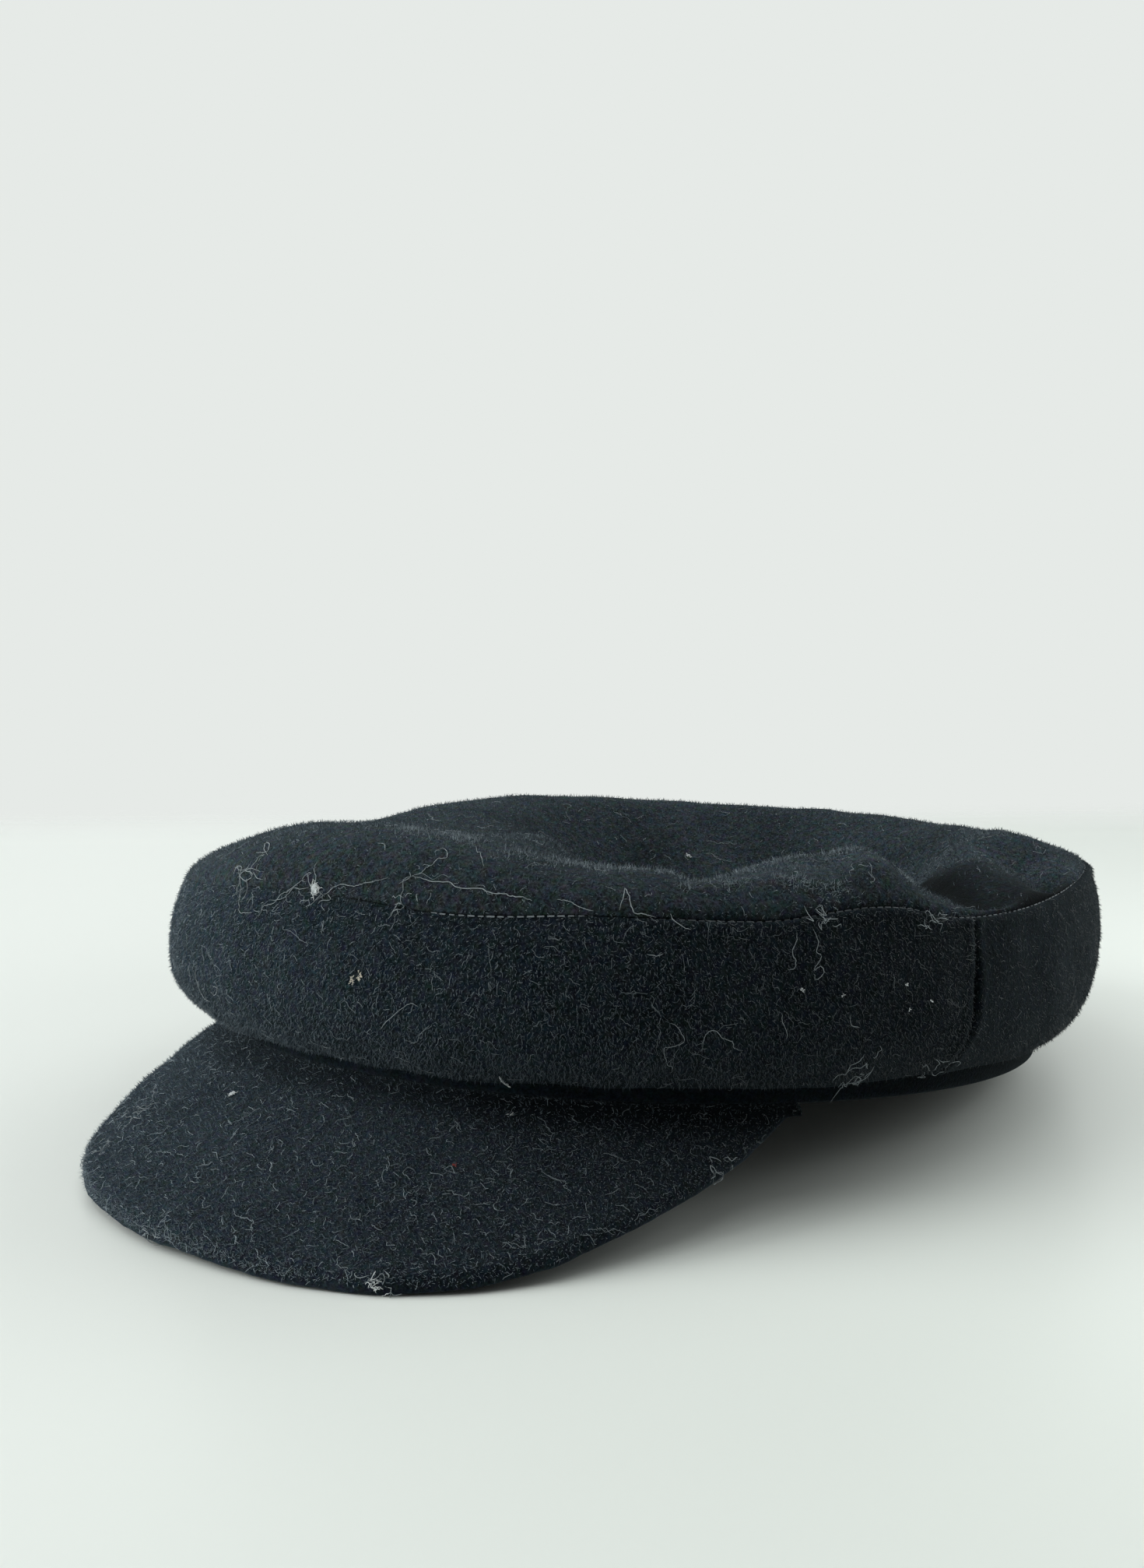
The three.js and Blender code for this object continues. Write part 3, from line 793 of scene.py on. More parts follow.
def makeSidePanel(name, node, fromAngle, toAngle, seed):
    stations = round((toAngle - fromAngle) * sidePanel["stationsPerDegree"])
    close = np.array(sidePanel["endStations"])
    along = np.concatenate([
        fromAngle + close, np.linspace(fromAngle + 1, toAngle - 1, stations), toAngle - close[::-1],
    ])
    drops = np.linspace(0, 1, sidePanel["rings"])
    angle, drop = np.meshgrid(along, drops)
    # the side seam gapes along its middle and is drawn shut above and below
    above = ease((drop - sidePanel["slitFrom"]) / sidePanel["slitFade"])
    below = ease((sidePanel["slitTo"] - drop) / sidePanel["slitFade"])
    gaping = above * below
    shut = (1 - gaping) * halfGap * seamLook["drawn"]
    drawn = angle.copy()
    drawn[:, 0] -= shut[:, 0]
    drawn[:, -1] += shut[:, -1]
    outer = sidePoint(drawn, drop)
    outward = outOfBand(angle[sidePanel["sample"]])
    square = outwardNormals(outer, False, sidePanel["sample"], outward)
    toSeam = np.linalg.norm(outer - outer[:1], axis=-1)
    swell = clothSwell(outer, sidePanel, seed) * ease(toSeam / stillNear)
    lip = sidePanel["lip"] * seamMark(angle)
    swell = swell + lip * np.exp(-(((toSeam - sidePanel["lipAt"]) / sidePanel["lipWidth"]) ** 2))
    span = {"from": seamLook["shutFrom"], "to": seamLook["shutTo"], "fade": seamLook["shutFade"]}
    outer[0, :, 2] += seamLook["drawn"] * gap * between(along, span)
    toStart = np.linalg.norm(outer - outer[:, :1], axis=-1)
    toEnd = np.minimum(toStart, np.linalg.norm(outer - outer[:, -1:], axis=-1))
    sink = mix(sidePanel["seamSink"], sidePanel["slitSink"], gaping)
    swell = swell - sink * np.exp(-((toEnd / sidePanel["seamWidth"]) ** 4))
    fromLip = (toEnd - sidePanel["seamLipAt"]) / sidePanel["seamLipWidth"]
    swell = swell + sidePanel["seamLip"] * np.exp(-(fromLip**2))
    outer = outer + square * swell[..., None]
    # the hem: the cloth turns under in a round edge and runs in to the headband
    low = readRound(crownColumns, crownRows, "hem", along)
    tuckOuter = onBand(along, low + hem["tuck"], gap)
    tuckInner = onBand(along, low + hem["tuck"] + cloth, gap)
    edge = outer[-1]
    turned = []
    for share in np.linspace(0, 1, sidePanel["hemRings"] + 1)[1:]:
        point = mix(edge, tuckOuter, share)
        point[:, 2] -= sidePanel["hemDrop"] * np.sin(np.pi * share ** sidePanel["hemSkew"])
        turned.append(point)
    outer = np.concatenate([outer, turned])
    inner = sidePoint(*np.meshgrid(along, np.linspace(0, 1, sidePanel["innerRings"])))
    inner = inner - outwardNormals(inner, False, sidePanel["sample"], outward) * cloth
    # the lining side meets the top panel's
    inner[0, :, 2] += seamLook["drawn"] * gap
    inner = np.concatenate([inner, tuckInner[None]])
    rows, columns = outer.shape[:2]
    innerRows = inner.shape[0]
    points = np.concatenate([outer.reshape(-1, 3), inner.reshape(-1, 3)])
    first = rows * columns
    shown = np.repeat(np.arange(rows) < sidePanel["rings"] - 1, columns)
    outside = np.concatenate([shown, np.zeros(innerRows * columns)])
    faces = gridFaces(rows, columns, False).tolist()
    faces += gridFaces(innerRows, columns, False, first)[:, ::-1].tolist()
    here = np.arange(columns - 1)
    lastOuter = (rows - 1) * columns
    lastInner = first + (innerRows - 1) * columns
    faces += np.stack([here, first + here, first + here + 1, here + 1], -1).tolist()
    hemCorners = [lastOuter + here + 1, lastInner + here + 1, lastInner + here, lastOuter + here]
    faces += np.stack(hemCorners, -1).tolist()
    for column in (0, columns - 1):
        outerEdge = [row * columns + column for row in range(rows)]
        innerEdge = [first + row * columns + column for row in range(innerRows)]
        loop = outerEdge + innerEdge[::-1]
        faces.append(loop if column == 0 else loop[::-1])
    # painted shade: the cloth is painted darker towards the hem and over the turned-under hem and lining,
    # where shade falls
    toHem = (drop - sidePanel["hemShadeFrom"]) / (1 - sidePanel["hemShadeFrom"])
    dusty = mix(1, sidePanel["hemShade"], ease(toHem))
    dusty = np.concatenate([dusty.ravel(), np.full(len(points) - dusty.size, sidePanel["hemShade"])])
    piece = joinedMesh(name, points, faces, outside, dusty, joins=2 * (columns - 1) + 2)
    finishPiece(piece, node, sideMelton)
    return piece


sideFront = makeSidePanel(
    "crown_side_front", "side_front", -sideSeamAngle + halfGap, sideSeamAngle - halfGap, 11
)
sideBack = makeSidePanel(
    "crown_side_back", "side_back", sideSeamAngle + halfGap, fullTurn - sideSeamAngle - halfGap, 21
)


print("headband")

# Painted shade: the headband's cloth is painted darker, as it lies in the shade under the hem.
bandPiece = {"stations": 480, "rings": 9, "edgeRings": 4, "edgeRound": 0.6, "paintedShading": 0.6}


def makeHeadband():
    angle = np.arange(bandPiece["stations"]) * fullTurn / bandPiece["stations"]
    half = headband["wall"] / 2
    low = bandPiece["edgeRound"]
    high = headband["height"] - low
    heights = np.linspace(low, high, bandPiece["rings"])
    turns = np.linspace(0, np.pi, bandPiece["edgeRings"] + 1)[1:-1]
    # the section runs up the outside, over the upper edge, down the inside and under the lower edge
    section = [(z, 0) for z in heights]
    section += [(high + low * np.sin(turn), -half + half * np.cos(turn)) for turn in turns]
    section += [(z, -headband["wall"]) for z in heights[::-1]]
    section += [(low - low * np.sin(turn), -half - half * np.cos(turn)) for turn in turns]
    rings = np.array([onBand(angle, z, distance) for z, distance in section])
    rows, columns = rings.shape[:2]
    faces = gridFaces(rows, columns, True).tolist()
    here = np.arange(columns)
    after = (here + 1) % columns
    last = (rows - 1) * columns
    faces += np.stack([last + here, last + after, after, here], -1).tolist()
    outside = np.repeat(np.arange(rows) < bandPiece["rings"], columns).astype(float)
    dusty = np.full(rows * columns, bandPiece["paintedShading"])
    piece = joinedMesh("head_band", rings.reshape(-1, 3), faces, outside, dusty)
    finishPiece(piece, "headband", sideMelton)
    return piece


headBand = makeHeadband()


print("peak")

peakPiece = {
    "stations": 300, "rings": 48, "edgeRings": 8, "underRings": 12, "sample": (20, 150),
    "ripple": 0.08, "rippleLength": 16, "pucker": 0.04, "puckerLength": 4, "seed": 31, "stillEnds": 0.06,
    "rootRise": 0.25, "mostRound": 0.6, "rootShade": 0.45, "rootShadeFrom": 2, "rootShadeWidth": 8,
}


def makePeak():
    angle = np.linspace(-peak["halfAngle"], peak["halfAngle"], peakPiece["stations"])
    reach = peakReach(angle)
    half = peak["thickness"] / 2
    rows = [peakPoint(angle, 0 * angle, 0.0) - outOfBand(angle) * peak["ledge"]]
    # the root's hidden edge rises to meet the headband, so no light comes over it
    rows[0][:, 2] += gap + peakPiece["rootRise"]
    flat = reach - np.minimum(half, reach * peakPiece["mostRound"])
    for share in np.linspace(0, 1, peakPiece["rings"]):
        rows.append(peakPoint(angle, share * flat, 0.0))
    for turn in np.linspace(0, np.pi, peakPiece["edgeRings"] + 2)[1:-1]:
        rows.append(peakPoint(angle, mix(flat, reach, np.sin(turn)), (1 - np.cos(turn)) / 2))
    outsideRows = len(rows) - peakPiece["edgeRings"] // 2
    for share in np.linspace(1, 0, peakPiece["underRings"]):
        rows.append(peakPoint(angle, share * flat, 1.0))
    rows.append(peakPoint(angle, 0 * angle, 1.0) - outOfBand(angle) * peak["ledge"])
    grid = np.array(rows)
    square = outwardNormals(grid, False, peakPiece["sample"], upward)
    swell = clothSwell(grid, peakPiece, peakPiece["seed"])
    swell[[0, -1]] = 0
    ends = ease((1 - np.abs(angle) / peak["halfAngle"]) / peakPiece["stillEnds"])
    grid = grid + square * (swell * ends)[..., None]
    count, columns = grid.shape[:2]
    faces = gridFaces(count, columns, False).tolist()
    here = np.arange(columns - 1)
    last = (count - 1) * columns
    faces += np.stack([last + here, last + here + 1, here + 1, here], -1).tolist()
    faces.append([row * columns for row in range(count)])
    faces.append([row * columns + columns - 1 for row in reversed(range(count))])
    outside = np.repeat(np.arange(count) < outsideRows, columns).astype(float)
    # painted shade: the peak is painted darker near its root, in the shade under the hem
    fromRoot = np.linalg.norm(grid - grid[1], axis=-1)
    offRoot = ease((fromRoot - peakPiece["rootShadeFrom"]) / peakPiece["rootShadeWidth"])
    dusty = mix(peakPiece["rootShade"], 1, offRoot).ravel()
    piece = joinedMesh("cap_peak", grid.reshape(-1, 3), faces, outside, dusty)
    edgeRow = peakPiece["rings"] + peakPiece["edgeRings"] // 2
    rim = np.exp(-(((np.arange(count) - edgeRow) / rimFuzz["rows"]) ** 2))[:, None]
    addMark(piece.data, "fuzzAndHighlightMark", (rimFuzz["share"] * rim * between(angle, rimFuzz)).ravel())
    finishPiece(piece, "peak", peakMelton)
    return piece


capPeak = makePeak()


print("nap and fibres")


def newTree(name, sockets):
    # a Geometry Nodes group with a geometry in and out and the named inputs between them
    tree = bpy.data.node_groups.new(name, "GeometryNodeTree")
    tree.interface.new_socket("Geometry", in_out="INPUT", socket_type="NodeSocketGeometry")
    for label, kind in sockets.items():
        tree.interface.new_socket(label, in_out="INPUT", socket_type=kind)
    tree.interface.new_socket("Geometry", in_out="OUTPUT", socket_type="NodeSocketGeometry")
    return tree, addNode(tree, "NodeGroupInput")


def endTree(tree, geometry, finish):
    # every tree ends in plain geometry with its material set
    plain = addNode(tree, "GeometryNodeRealizeInstances", {}, {"Geometry": geometry})
    finished = addNode(tree, "GeometryNodeSetMaterial", {}, {"Geometry": plain, "Material": finish})
    addNode(tree, "NodeGroupOutput", {}, {"Geometry": finished})


def grow(name, base, tree, values):
    # what the tree makes on a piece, as a mesh object of its own
    modifier = base.modifiers.new(name, "NODES")
    modifier.node_group = tree
    for item in tree.interface.items_tree:
        if item.in_out == "INPUT" and item.name in values:
            modifier[item.identifier] = values[item.name]
    evaluated = base.evaluated_get(bpy.context.evaluated_depsgraph_get())
    mesh = bpy.data.meshes.new_from_object(evaluated)
    base.modifiers.remove(modifier)
    grown = bpy.data.objects.new(name, mesh)
    bpy.context.scene.collection.objects.link(grown)
    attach(grown, "root")
    return grown


wholly = 0.9  # a mark past this counts as 1


def outsidePoints(tree, inputs):
    # points strewn over the faces that show
    mark = addNode(tree, "GeometryNodeInputNamedAttribute", {".data_type": "FLOAT", "Name": "outside"})
    shows = addNode(tree, "FunctionNodeCompare", {
        ".data_type": "FLOAT", ".operation": "GREATER_THAN", "B": wholly,
    }, {"A": mark})
    covered = addNode(tree, "GeometryNodeInputNamedAttribute", {".data_type": "FLOAT"}, {
        "Name": inputs.outputs["Mark"],
    })
    density = addNode(tree, "ShaderNodeMath", {".operation": "MULTIPLY"}, {
        0: inputs.outputs["Density"], 1: covered,
    })
    return addNode(tree, "GeometryNodeDistributePointsOnFaces", {".distribute_method": "RANDOM"}, {
        "Mesh": inputs.outputs["Geometry"], "Selection": shows,
        "Density": density, "Seed": inputs.outputs["Seed"],
    })


# Sizes are shares of the usual one; liftLength is how far apart a fibre's high spots lie.
napHair = {"length": 0.72, "radius": 0.065, "leastSize": 0.5, "mostSize": 1.5}
strayFibre = {"leastSize": 0.35, "mostSize": 1.4, "liftLength": 5 / 3}


def makeNapTree():
    # short hairs, each a closed three-sided spike that leans at random and is brushed one way
    tree, inputs = newTree("nap", {
        "Mark": "NodeSocketString", "Density": "NodeSocketFloat", "Length": "NodeSocketFloat",
        "Radius": "NodeSocketFloat", "Stand": "NodeSocketFloat", "Brush": "NodeSocketVector",
        "Seed": "NodeSocketInt", "Finish": "NodeSocketMaterial",
    })
    points = outsidePoints(tree, inputs)
    scatter = addNode(tree, "FunctionNodeRandomValue", {
        ".data_type": "FLOAT_VECTOR", 0: (-1, -1, -1), 1: (1, 1, 1),
    }, {"Seed": inputs.outputs["Seed"]})
    standing = addNode(tree, "ShaderNodeVectorMath", {".operation": "SCALE"}, {
        0: points.outputs["Normal"], "Scale": inputs.outputs["Stand"],
    })
    leaning = addNode(tree, "ShaderNodeVectorMath", {".operation": "ADD"}, {
        0: scatter, 1: inputs.outputs["Brush"],
    })
    heading = addNode(tree, "ShaderNodeVectorMath", {".operation": "ADD"}, {
        0: standing, 1: leaning,
    })
    turn = addNode(tree, "FunctionNodeAlignRotationToVector", {".axis": "Z"}, {"Vector": heading})
    hair = addNode(tree, "GeometryNodeMeshCone", {
        ".fill_type": "NGON", "Vertices": 3, "Side Segments": 1, "Fill Segments": 1, "Radius Top": 0.0,
    }, {"Radius Bottom": inputs.outputs["Radius"], "Depth": inputs.outputs["Length"]})
    size = addNode(tree, "FunctionNodeRandomValue", {
        ".data_type": "FLOAT", 2: napHair["leastSize"], 3: napHair["mostSize"],
    }, {"Seed": inputs.outputs["Seed"]})
    hairs = addNode(tree, "GeometryNodeInstanceOnPoints", {}, {
        "Points": points, "Instance": hair, "Rotation": turn, "Scale": size,
    })
    endTree(tree, hairs, inputs.outputs["Finish"])
    return tree


def makeFibreTree():
    # long stray fibres that curl about on the cloth, just clear of it
    tree, inputs = newTree("stray fibres", {
        "Mark": "NodeSocketString", "Density": "NodeSocketFloat", "Length": "NodeSocketFloat",
        "Radius": "NodeSocketFloat", "Curl": "NodeSocketFloat", "Curl Size": "NodeSocketFloat",
        "Lift": "NodeSocketFloat", "Points": "NodeSocketInt", "Seed": "NodeSocketInt",
        "Finish": "NodeSocketMaterial",
    })
    points = outsidePoints(tree, inputs)
    spin = addNode(tree, "FunctionNodeRandomValue", {".data_type": "FLOAT", 2: 0.0, 3: 2 * math.pi}, {
        "Seed": inputs.outputs["Seed"],
    })
    about = addNode(tree, "FunctionNodeAxisAngleToRotation", {"Axis": (0, 0, 1)}, {"Angle": spin})
    turn = addNode(tree, "FunctionNodeRotateRotation", {".rotation_space": "LOCAL"}, {
        "Rotation": points.outputs["Rotation"], "Rotate By": about,
    })
    half = addNode(tree, "ShaderNodeMath", {".operation": "MULTIPLY", 1: 0.5}, {0: inputs.outputs["Length"]})
    minus = addNode(tree, "ShaderNodeMath", {".operation": "MULTIPLY", 1: -0.5}, {
        0: inputs.outputs["Length"],
    })
    start = addNode(tree, "ShaderNodeCombineXYZ", {}, {"X": minus})
    end = addNode(tree, "ShaderNodeCombineXYZ", {}, {"X": half})
    line = addNode(tree, "GeometryNodeCurvePrimitiveLine", {}, {"Start": start, "End": end})
    strand = addNode(tree, "GeometryNodeResampleCurve", {}, {
        "Curve": line, "Count": inputs.outputs["Points"],
    })
    size = addNode(tree, "FunctionNodeRandomValue", {
        ".data_type": "FLOAT", 2: strayFibre["leastSize"], 3: strayFibre["mostSize"],
    }, {"Seed": inputs.outputs["Seed"]})
    strands = addNode(tree, "GeometryNodeInstanceOnPoints", {}, {
        "Points": points, "Instance": strand, "Rotation": turn, "Scale": size,
    })
    laid = addNode(tree, "GeometryNodeRealizeInstances", {}, {"Geometry": strands})
    place = addNode(tree, "GeometryNodeInputPosition")
    wander = addNode(tree, "ShaderNodeTexNoise", {"Detail": 1.0}, {
        "Vector": place, "Scale": inputs.outputs["Curl Size"],
    })
    centred = addNode(tree, "ShaderNodeVectorMath", {".operation": "SUBTRACT", 1: (0.5, 0.5, 0.5)}, {
        0: wander.outputs["Color"],
    })
    curled = addNode(tree, "ShaderNodeVectorMath", {".operation": "SCALE"}, {
        0: centred, "Scale": inputs.outputs["Curl"],
    })
    loose = addNode(tree, "GeometryNodeSetPosition", {}, {
        "Geometry": laid, "Offset": curled,
    })
    # down on to the cloth again, at a height that changes along the fibre
    onto = addNode(tree, "GeometryNodeProximity", {".target_element": "FACES"}, {
        "Geometry": inputs.outputs["Geometry"],
    })
    facing = addNode(tree, "GeometryNodeInputNormal")
    outward = addNode(tree, "GeometryNodeSampleNearestSurface", {".data_type": "FLOAT_VECTOR"}, {
        "Mesh": inputs.outputs["Geometry"], "Value": facing,
    })
    wave = addNode(tree, "ShaderNodeTexNoise", {
        "Scale": 1 / (strayFibre["liftLength"] * millimetre), "Detail": 0.0,
    }, {"Vector": place})
    height = addNode(tree, "ShaderNodeMath", {".operation": "MULTIPLY"}, {
        0: wave, 1: inputs.outputs["Lift"],
    })
    clear = addNode(tree, "ShaderNodeVectorMath", {".operation": "SCALE"}, {
        0: outward, "Scale": height,
    })
    rest = addNode(tree, "ShaderNodeVectorMath", {".operation": "ADD"}, {
        0: onto, 1: clear,
    })
    lying = addNode(tree, "GeometryNodeSetPosition", {}, {
        "Geometry": loose, "Position": rest,
    })
    ring = addNode(tree, "GeometryNodeCurvePrimitiveCircle", {"Resolution": 3}, {
        "Radius": inputs.outputs["Radius"],
    })
    body = addNode(tree, "GeometryNodeCurveToMesh", {"Fill Caps": True}, {
        "Curve": lying, "Profile Curve": ring,
    })
    endTree(tree, body, inputs.outputs["Finish"])
    return tree


fibreFinish = {"roughness": 0.8, "shine": 0.2, "napSheen": 0.3, "straySheen": 0.2, "lintSheen": 0.1}


def makeFibreMaterial(name, colour, sheen, look=None):
    material = bpy.data.materials.new(name)
    material.use_nodes = True
    tree = material.node_tree
    shader = tree.nodes["Principled BSDF"]
    shader.inputs["Base Color"].default_value = asLinear(colour)
    # painted light towards the window side, as on the cloth beneath
    if look:
        place = addNode(tree, "ShaderNodeTexCoord")
        plain = addNode(tree, "ShaderNodeRGB")
        plain.outputs[0].default_value = asLinear(colour)
        tree.links.new(windowSidePaintedLight(tree, place, plain.outputs[0], look), shader.inputs["Base Color"])
    shader.inputs["Roughness"].default_value = fibreFinish["roughness"]
    shader.inputs["Specular IOR Level"].default_value = fibreFinish["shine"]
    shader.inputs["Sheen Weight"].default_value = sheen
    return material


# Raised wool tips, a shade lighter than the felt beneath them.
napColour = {"raised": "#414b52", "stray": "#6d767b"}
napWool = {
    name: makeFibreMaterial(f"raised wool nap, {name}", napColour["raised"], fibreFinish["napSheen"], look)
    for name, look in (("top", topCloth), ("side", sideCloth), ("peak", peakCloth))
}
# Loose undyed wool fibres that cling to the cloth.
strayWool = {
    name: makeFibreMaterial(f"stray wool fibre, {name}", napColour["stray"], fibreFinish["straySheen"], look)
    for name, look in (("top", topCloth), ("side", sideCloth), ("peak", peakCloth))
}

# Which way the nap is brushed, as a share of the hairs' own random lean.
brushedLevel = (0, 0, 0)
brushedDown = (0, 0, -0.9)
brushedForward = (0, -0.4, 0)

# Densities are hairs and fibres a square millimetre.
napLooks = {
    "crown_top": {
        "on": crownTop, "of": "top", "density": 1.35, "stand": 0.9, "brush": brushedLevel, "seed": 5,
    },
    "front_side": {
        "on": sideFront, "of": "side", "density": 4.0, "stand": 0.6, "brush": brushedDown, "seed": 6,
    },
    "back_side": {
        "on": sideBack, "of": "side", "density": 1.8, "stand": 0.6, "brush": brushedDown, "seed": 7,
    },
    "peak": {
        "on": capPeak, "of": "peak", "density": 4.2, "stand": 0.8, "brush": brushedForward, "seed": 8,
    },
}
strayLooks = {
    "crown_top": {"on": crownTop, "of": "top", "short": 0.02, "long": 0.002, "seed": 15},
    "front_side": {"on": sideFront, "of": "side", "short": 0.07, "long": 0.005, "seed": 16},
    "back_side": {"on": sideBack, "of": "side", "short": 0.015, "long": 0.001, "seed": 17},
    "peak": {"on": capPeak, "of": "peak", "short": 0.11, "long": 0.003, "seed": 18},
}
strayKinds = {
    "short": {"length": 1.7, "radius": 0.042, "curl": 2.6, "curlSize": 1.5, "lift": 0.6, "points": 7},
    "long": {"length": 6.0, "radius": 0.036, "curl": 4.5, "curlSize": 2.6, "lift": 0.8, "points": 15},
}
perSquareMetre = 1e6

napTree = makeNapTree()
# the nap is sparser where the cloth is painted darker and denser where it is painted paler
for where, look in napLooks.items():
    hairs = grow(f"{where}_nap", look["on"], napTree, {
        "Mark": "dusty", "Density": look["density"] * perSquareMetre,
        "Length": napHair["length"] * millimetre, "Radius": napHair["radius"] * millimetre,
        "Stand": look["stand"], "Brush": look["brush"], "Seed": look["seed"],
        "Finish": napWool[look["of"]],
    })
    print(where, "nap faces", len(hairs.data.polygons))

# Wool rubbed up into paler fibres along the ridges, their pale colour partly a painted highlight where the
# light grazes the crest.
fuzzAndHighlightHair = {
    "density": 7.5, "length": 0.95, "radius": 0.04, "stand": 0.7, "brush": (0, 0, 0.2), "colour": "#909ba2",
}
fuzzAndHighlightWool = makeFibreMaterial("rubbed wool fuzz", fuzzAndHighlightHair["colour"], fibreFinish["lintSheen"])
for name, base, seed in (("ridge_fuzz_and_highlight", crownTop, 9), ("rim_fuzz", capPeak, 10)):
    grow(name, base, napTree, {
        "Mark": "fuzzAndHighlightMark", "Density": fuzzAndHighlightHair["density"] * perSquareMetre,
        "Length": fuzzAndHighlightHair["length"] * millimetre, "Radius": fuzzAndHighlightHair["radius"] * millimetre,
        "Stand": fuzzAndHighlightHair["stand"], "Brush": fuzzAndHighlightHair["brush"], "Seed": seed, "Finish": fuzzAndHighlightWool,
    })

fibreTree = makeFibreTree()
# stray fibres are likewise fewer where the cloth is painted darker
for where, look in strayLooks.items():
    for kind, shape in strayKinds.items():
        fibres = grow(f"{where}_{kind}_fibres", look["on"], fibreTree, {
            "Mark": "dusty", "Density": look[kind] * perSquareMetre,
            "Length": shape["length"] * millimetre, "Radius": shape["radius"] * millimetre,
            "Curl": shape["curl"] * millimetre, "Lift": shape["lift"] * millimetre,
            "Curl Size": 1 / (shape["curlSize"] * millimetre),
            "Points": shape["points"], "Seed": look["seed"], "Finish": strayWool[look["of"]],
        })
        print(where, kind, "fibre faces", len(fibres.data.polygons))


print("stitches")

# The seam round the top is closed by hand-sized stitches that show where it lies flat.
stitch = {
    "spacing": 1.85, "length": 1.25, "radius": 0.15, "leastSize": 0.7, "mostSize": 1.15, "seed": 41,
    "out": 0.25, "sunk": 0.9, "down": 0.15, "from": 12, "to": 33, "fade": 4, "colour": "#6d7479",
}


def makeStitchTree():
    tree, inputs = newTree("stitches", {
        "Spacing": "NodeSocketFloat", "Length": "NodeSocketFloat", "Radius": "NodeSocketFloat",
        "Finish": "NodeSocketMaterial",
    })
    seamLine = addNode(tree, "GeometryNodeMeshToCurve", {}, {"Mesh": inputs.outputs["Geometry"]})
    steps = addNode(tree, "GeometryNodeResampleCurve", {".mode": "LENGTH"}, {
        "Curve": seamLine, "Length": inputs.outputs["Spacing"],
    })
    along = addNode(tree, "GeometryNodeInputTangent")
    turn = addNode(tree, "FunctionNodeAlignRotationToVector", {".axis": "Z"}, {"Vector": along})
    thread = addNode(tree, "GeometryNodeMeshCylinder", {
        ".fill_type": "NGON", "Vertices": 6, "Side Segments": 1, "Fill Segments": 1,
    }, {"Radius": inputs.outputs["Radius"], "Depth": inputs.outputs["Length"]})
    size = addNode(tree, "FunctionNodeRandomValue", {
        ".data_type": "FLOAT", 2: stitch["leastSize"], 3: stitch["mostSize"], "Seed": stitch["seed"],
    })
    row = addNode(tree, "GeometryNodeInstanceOnPoints", {}, {
        "Points": steps, "Instance": thread, "Rotation": turn, "Scale": size,
    })
    endTree(tree, row, inputs.outputs["Finish"])
    return tree


def makeSeamLine():
    angle = np.arange(fullTurn, dtype=float)
    height = readRound(crownColumns, crownRows, "seam", angle) - stitch["down"]
    points = onEllipse(seam, angle, height)
    shown = between(angle, stitch)[:, None]
    points = points + outOfBand(angle) * mix(-stitch["sunk"], stitch["out"], shown)
    mesh = bpy.data.meshes.new("seam_line")
    edges = [(at, (at + 1) % fullTurn) for at in range(fullTurn)]
    mesh.from_pydata(((lean(points) + shift) * millimetre).tolist(), edges, [])
    line = bpy.data.objects.new("seam_line", mesh)
    bpy.context.scene.collection.objects.link(line)
    return line


seamLine = makeSeamLine()
grow("seam_stitches", seamLine, makeStitchTree(), {
    "Spacing": stitch["spacing"] * millimetre, "Length": stitch["length"] * millimetre,
    "Radius": stitch["radius"] * millimetre,
    "Finish": makeFibreMaterial("spun sewing thread", stitch["colour"], fibreFinish["straySheen"]),
})
bpy.data.objects.remove(seamLine)


print("lint")

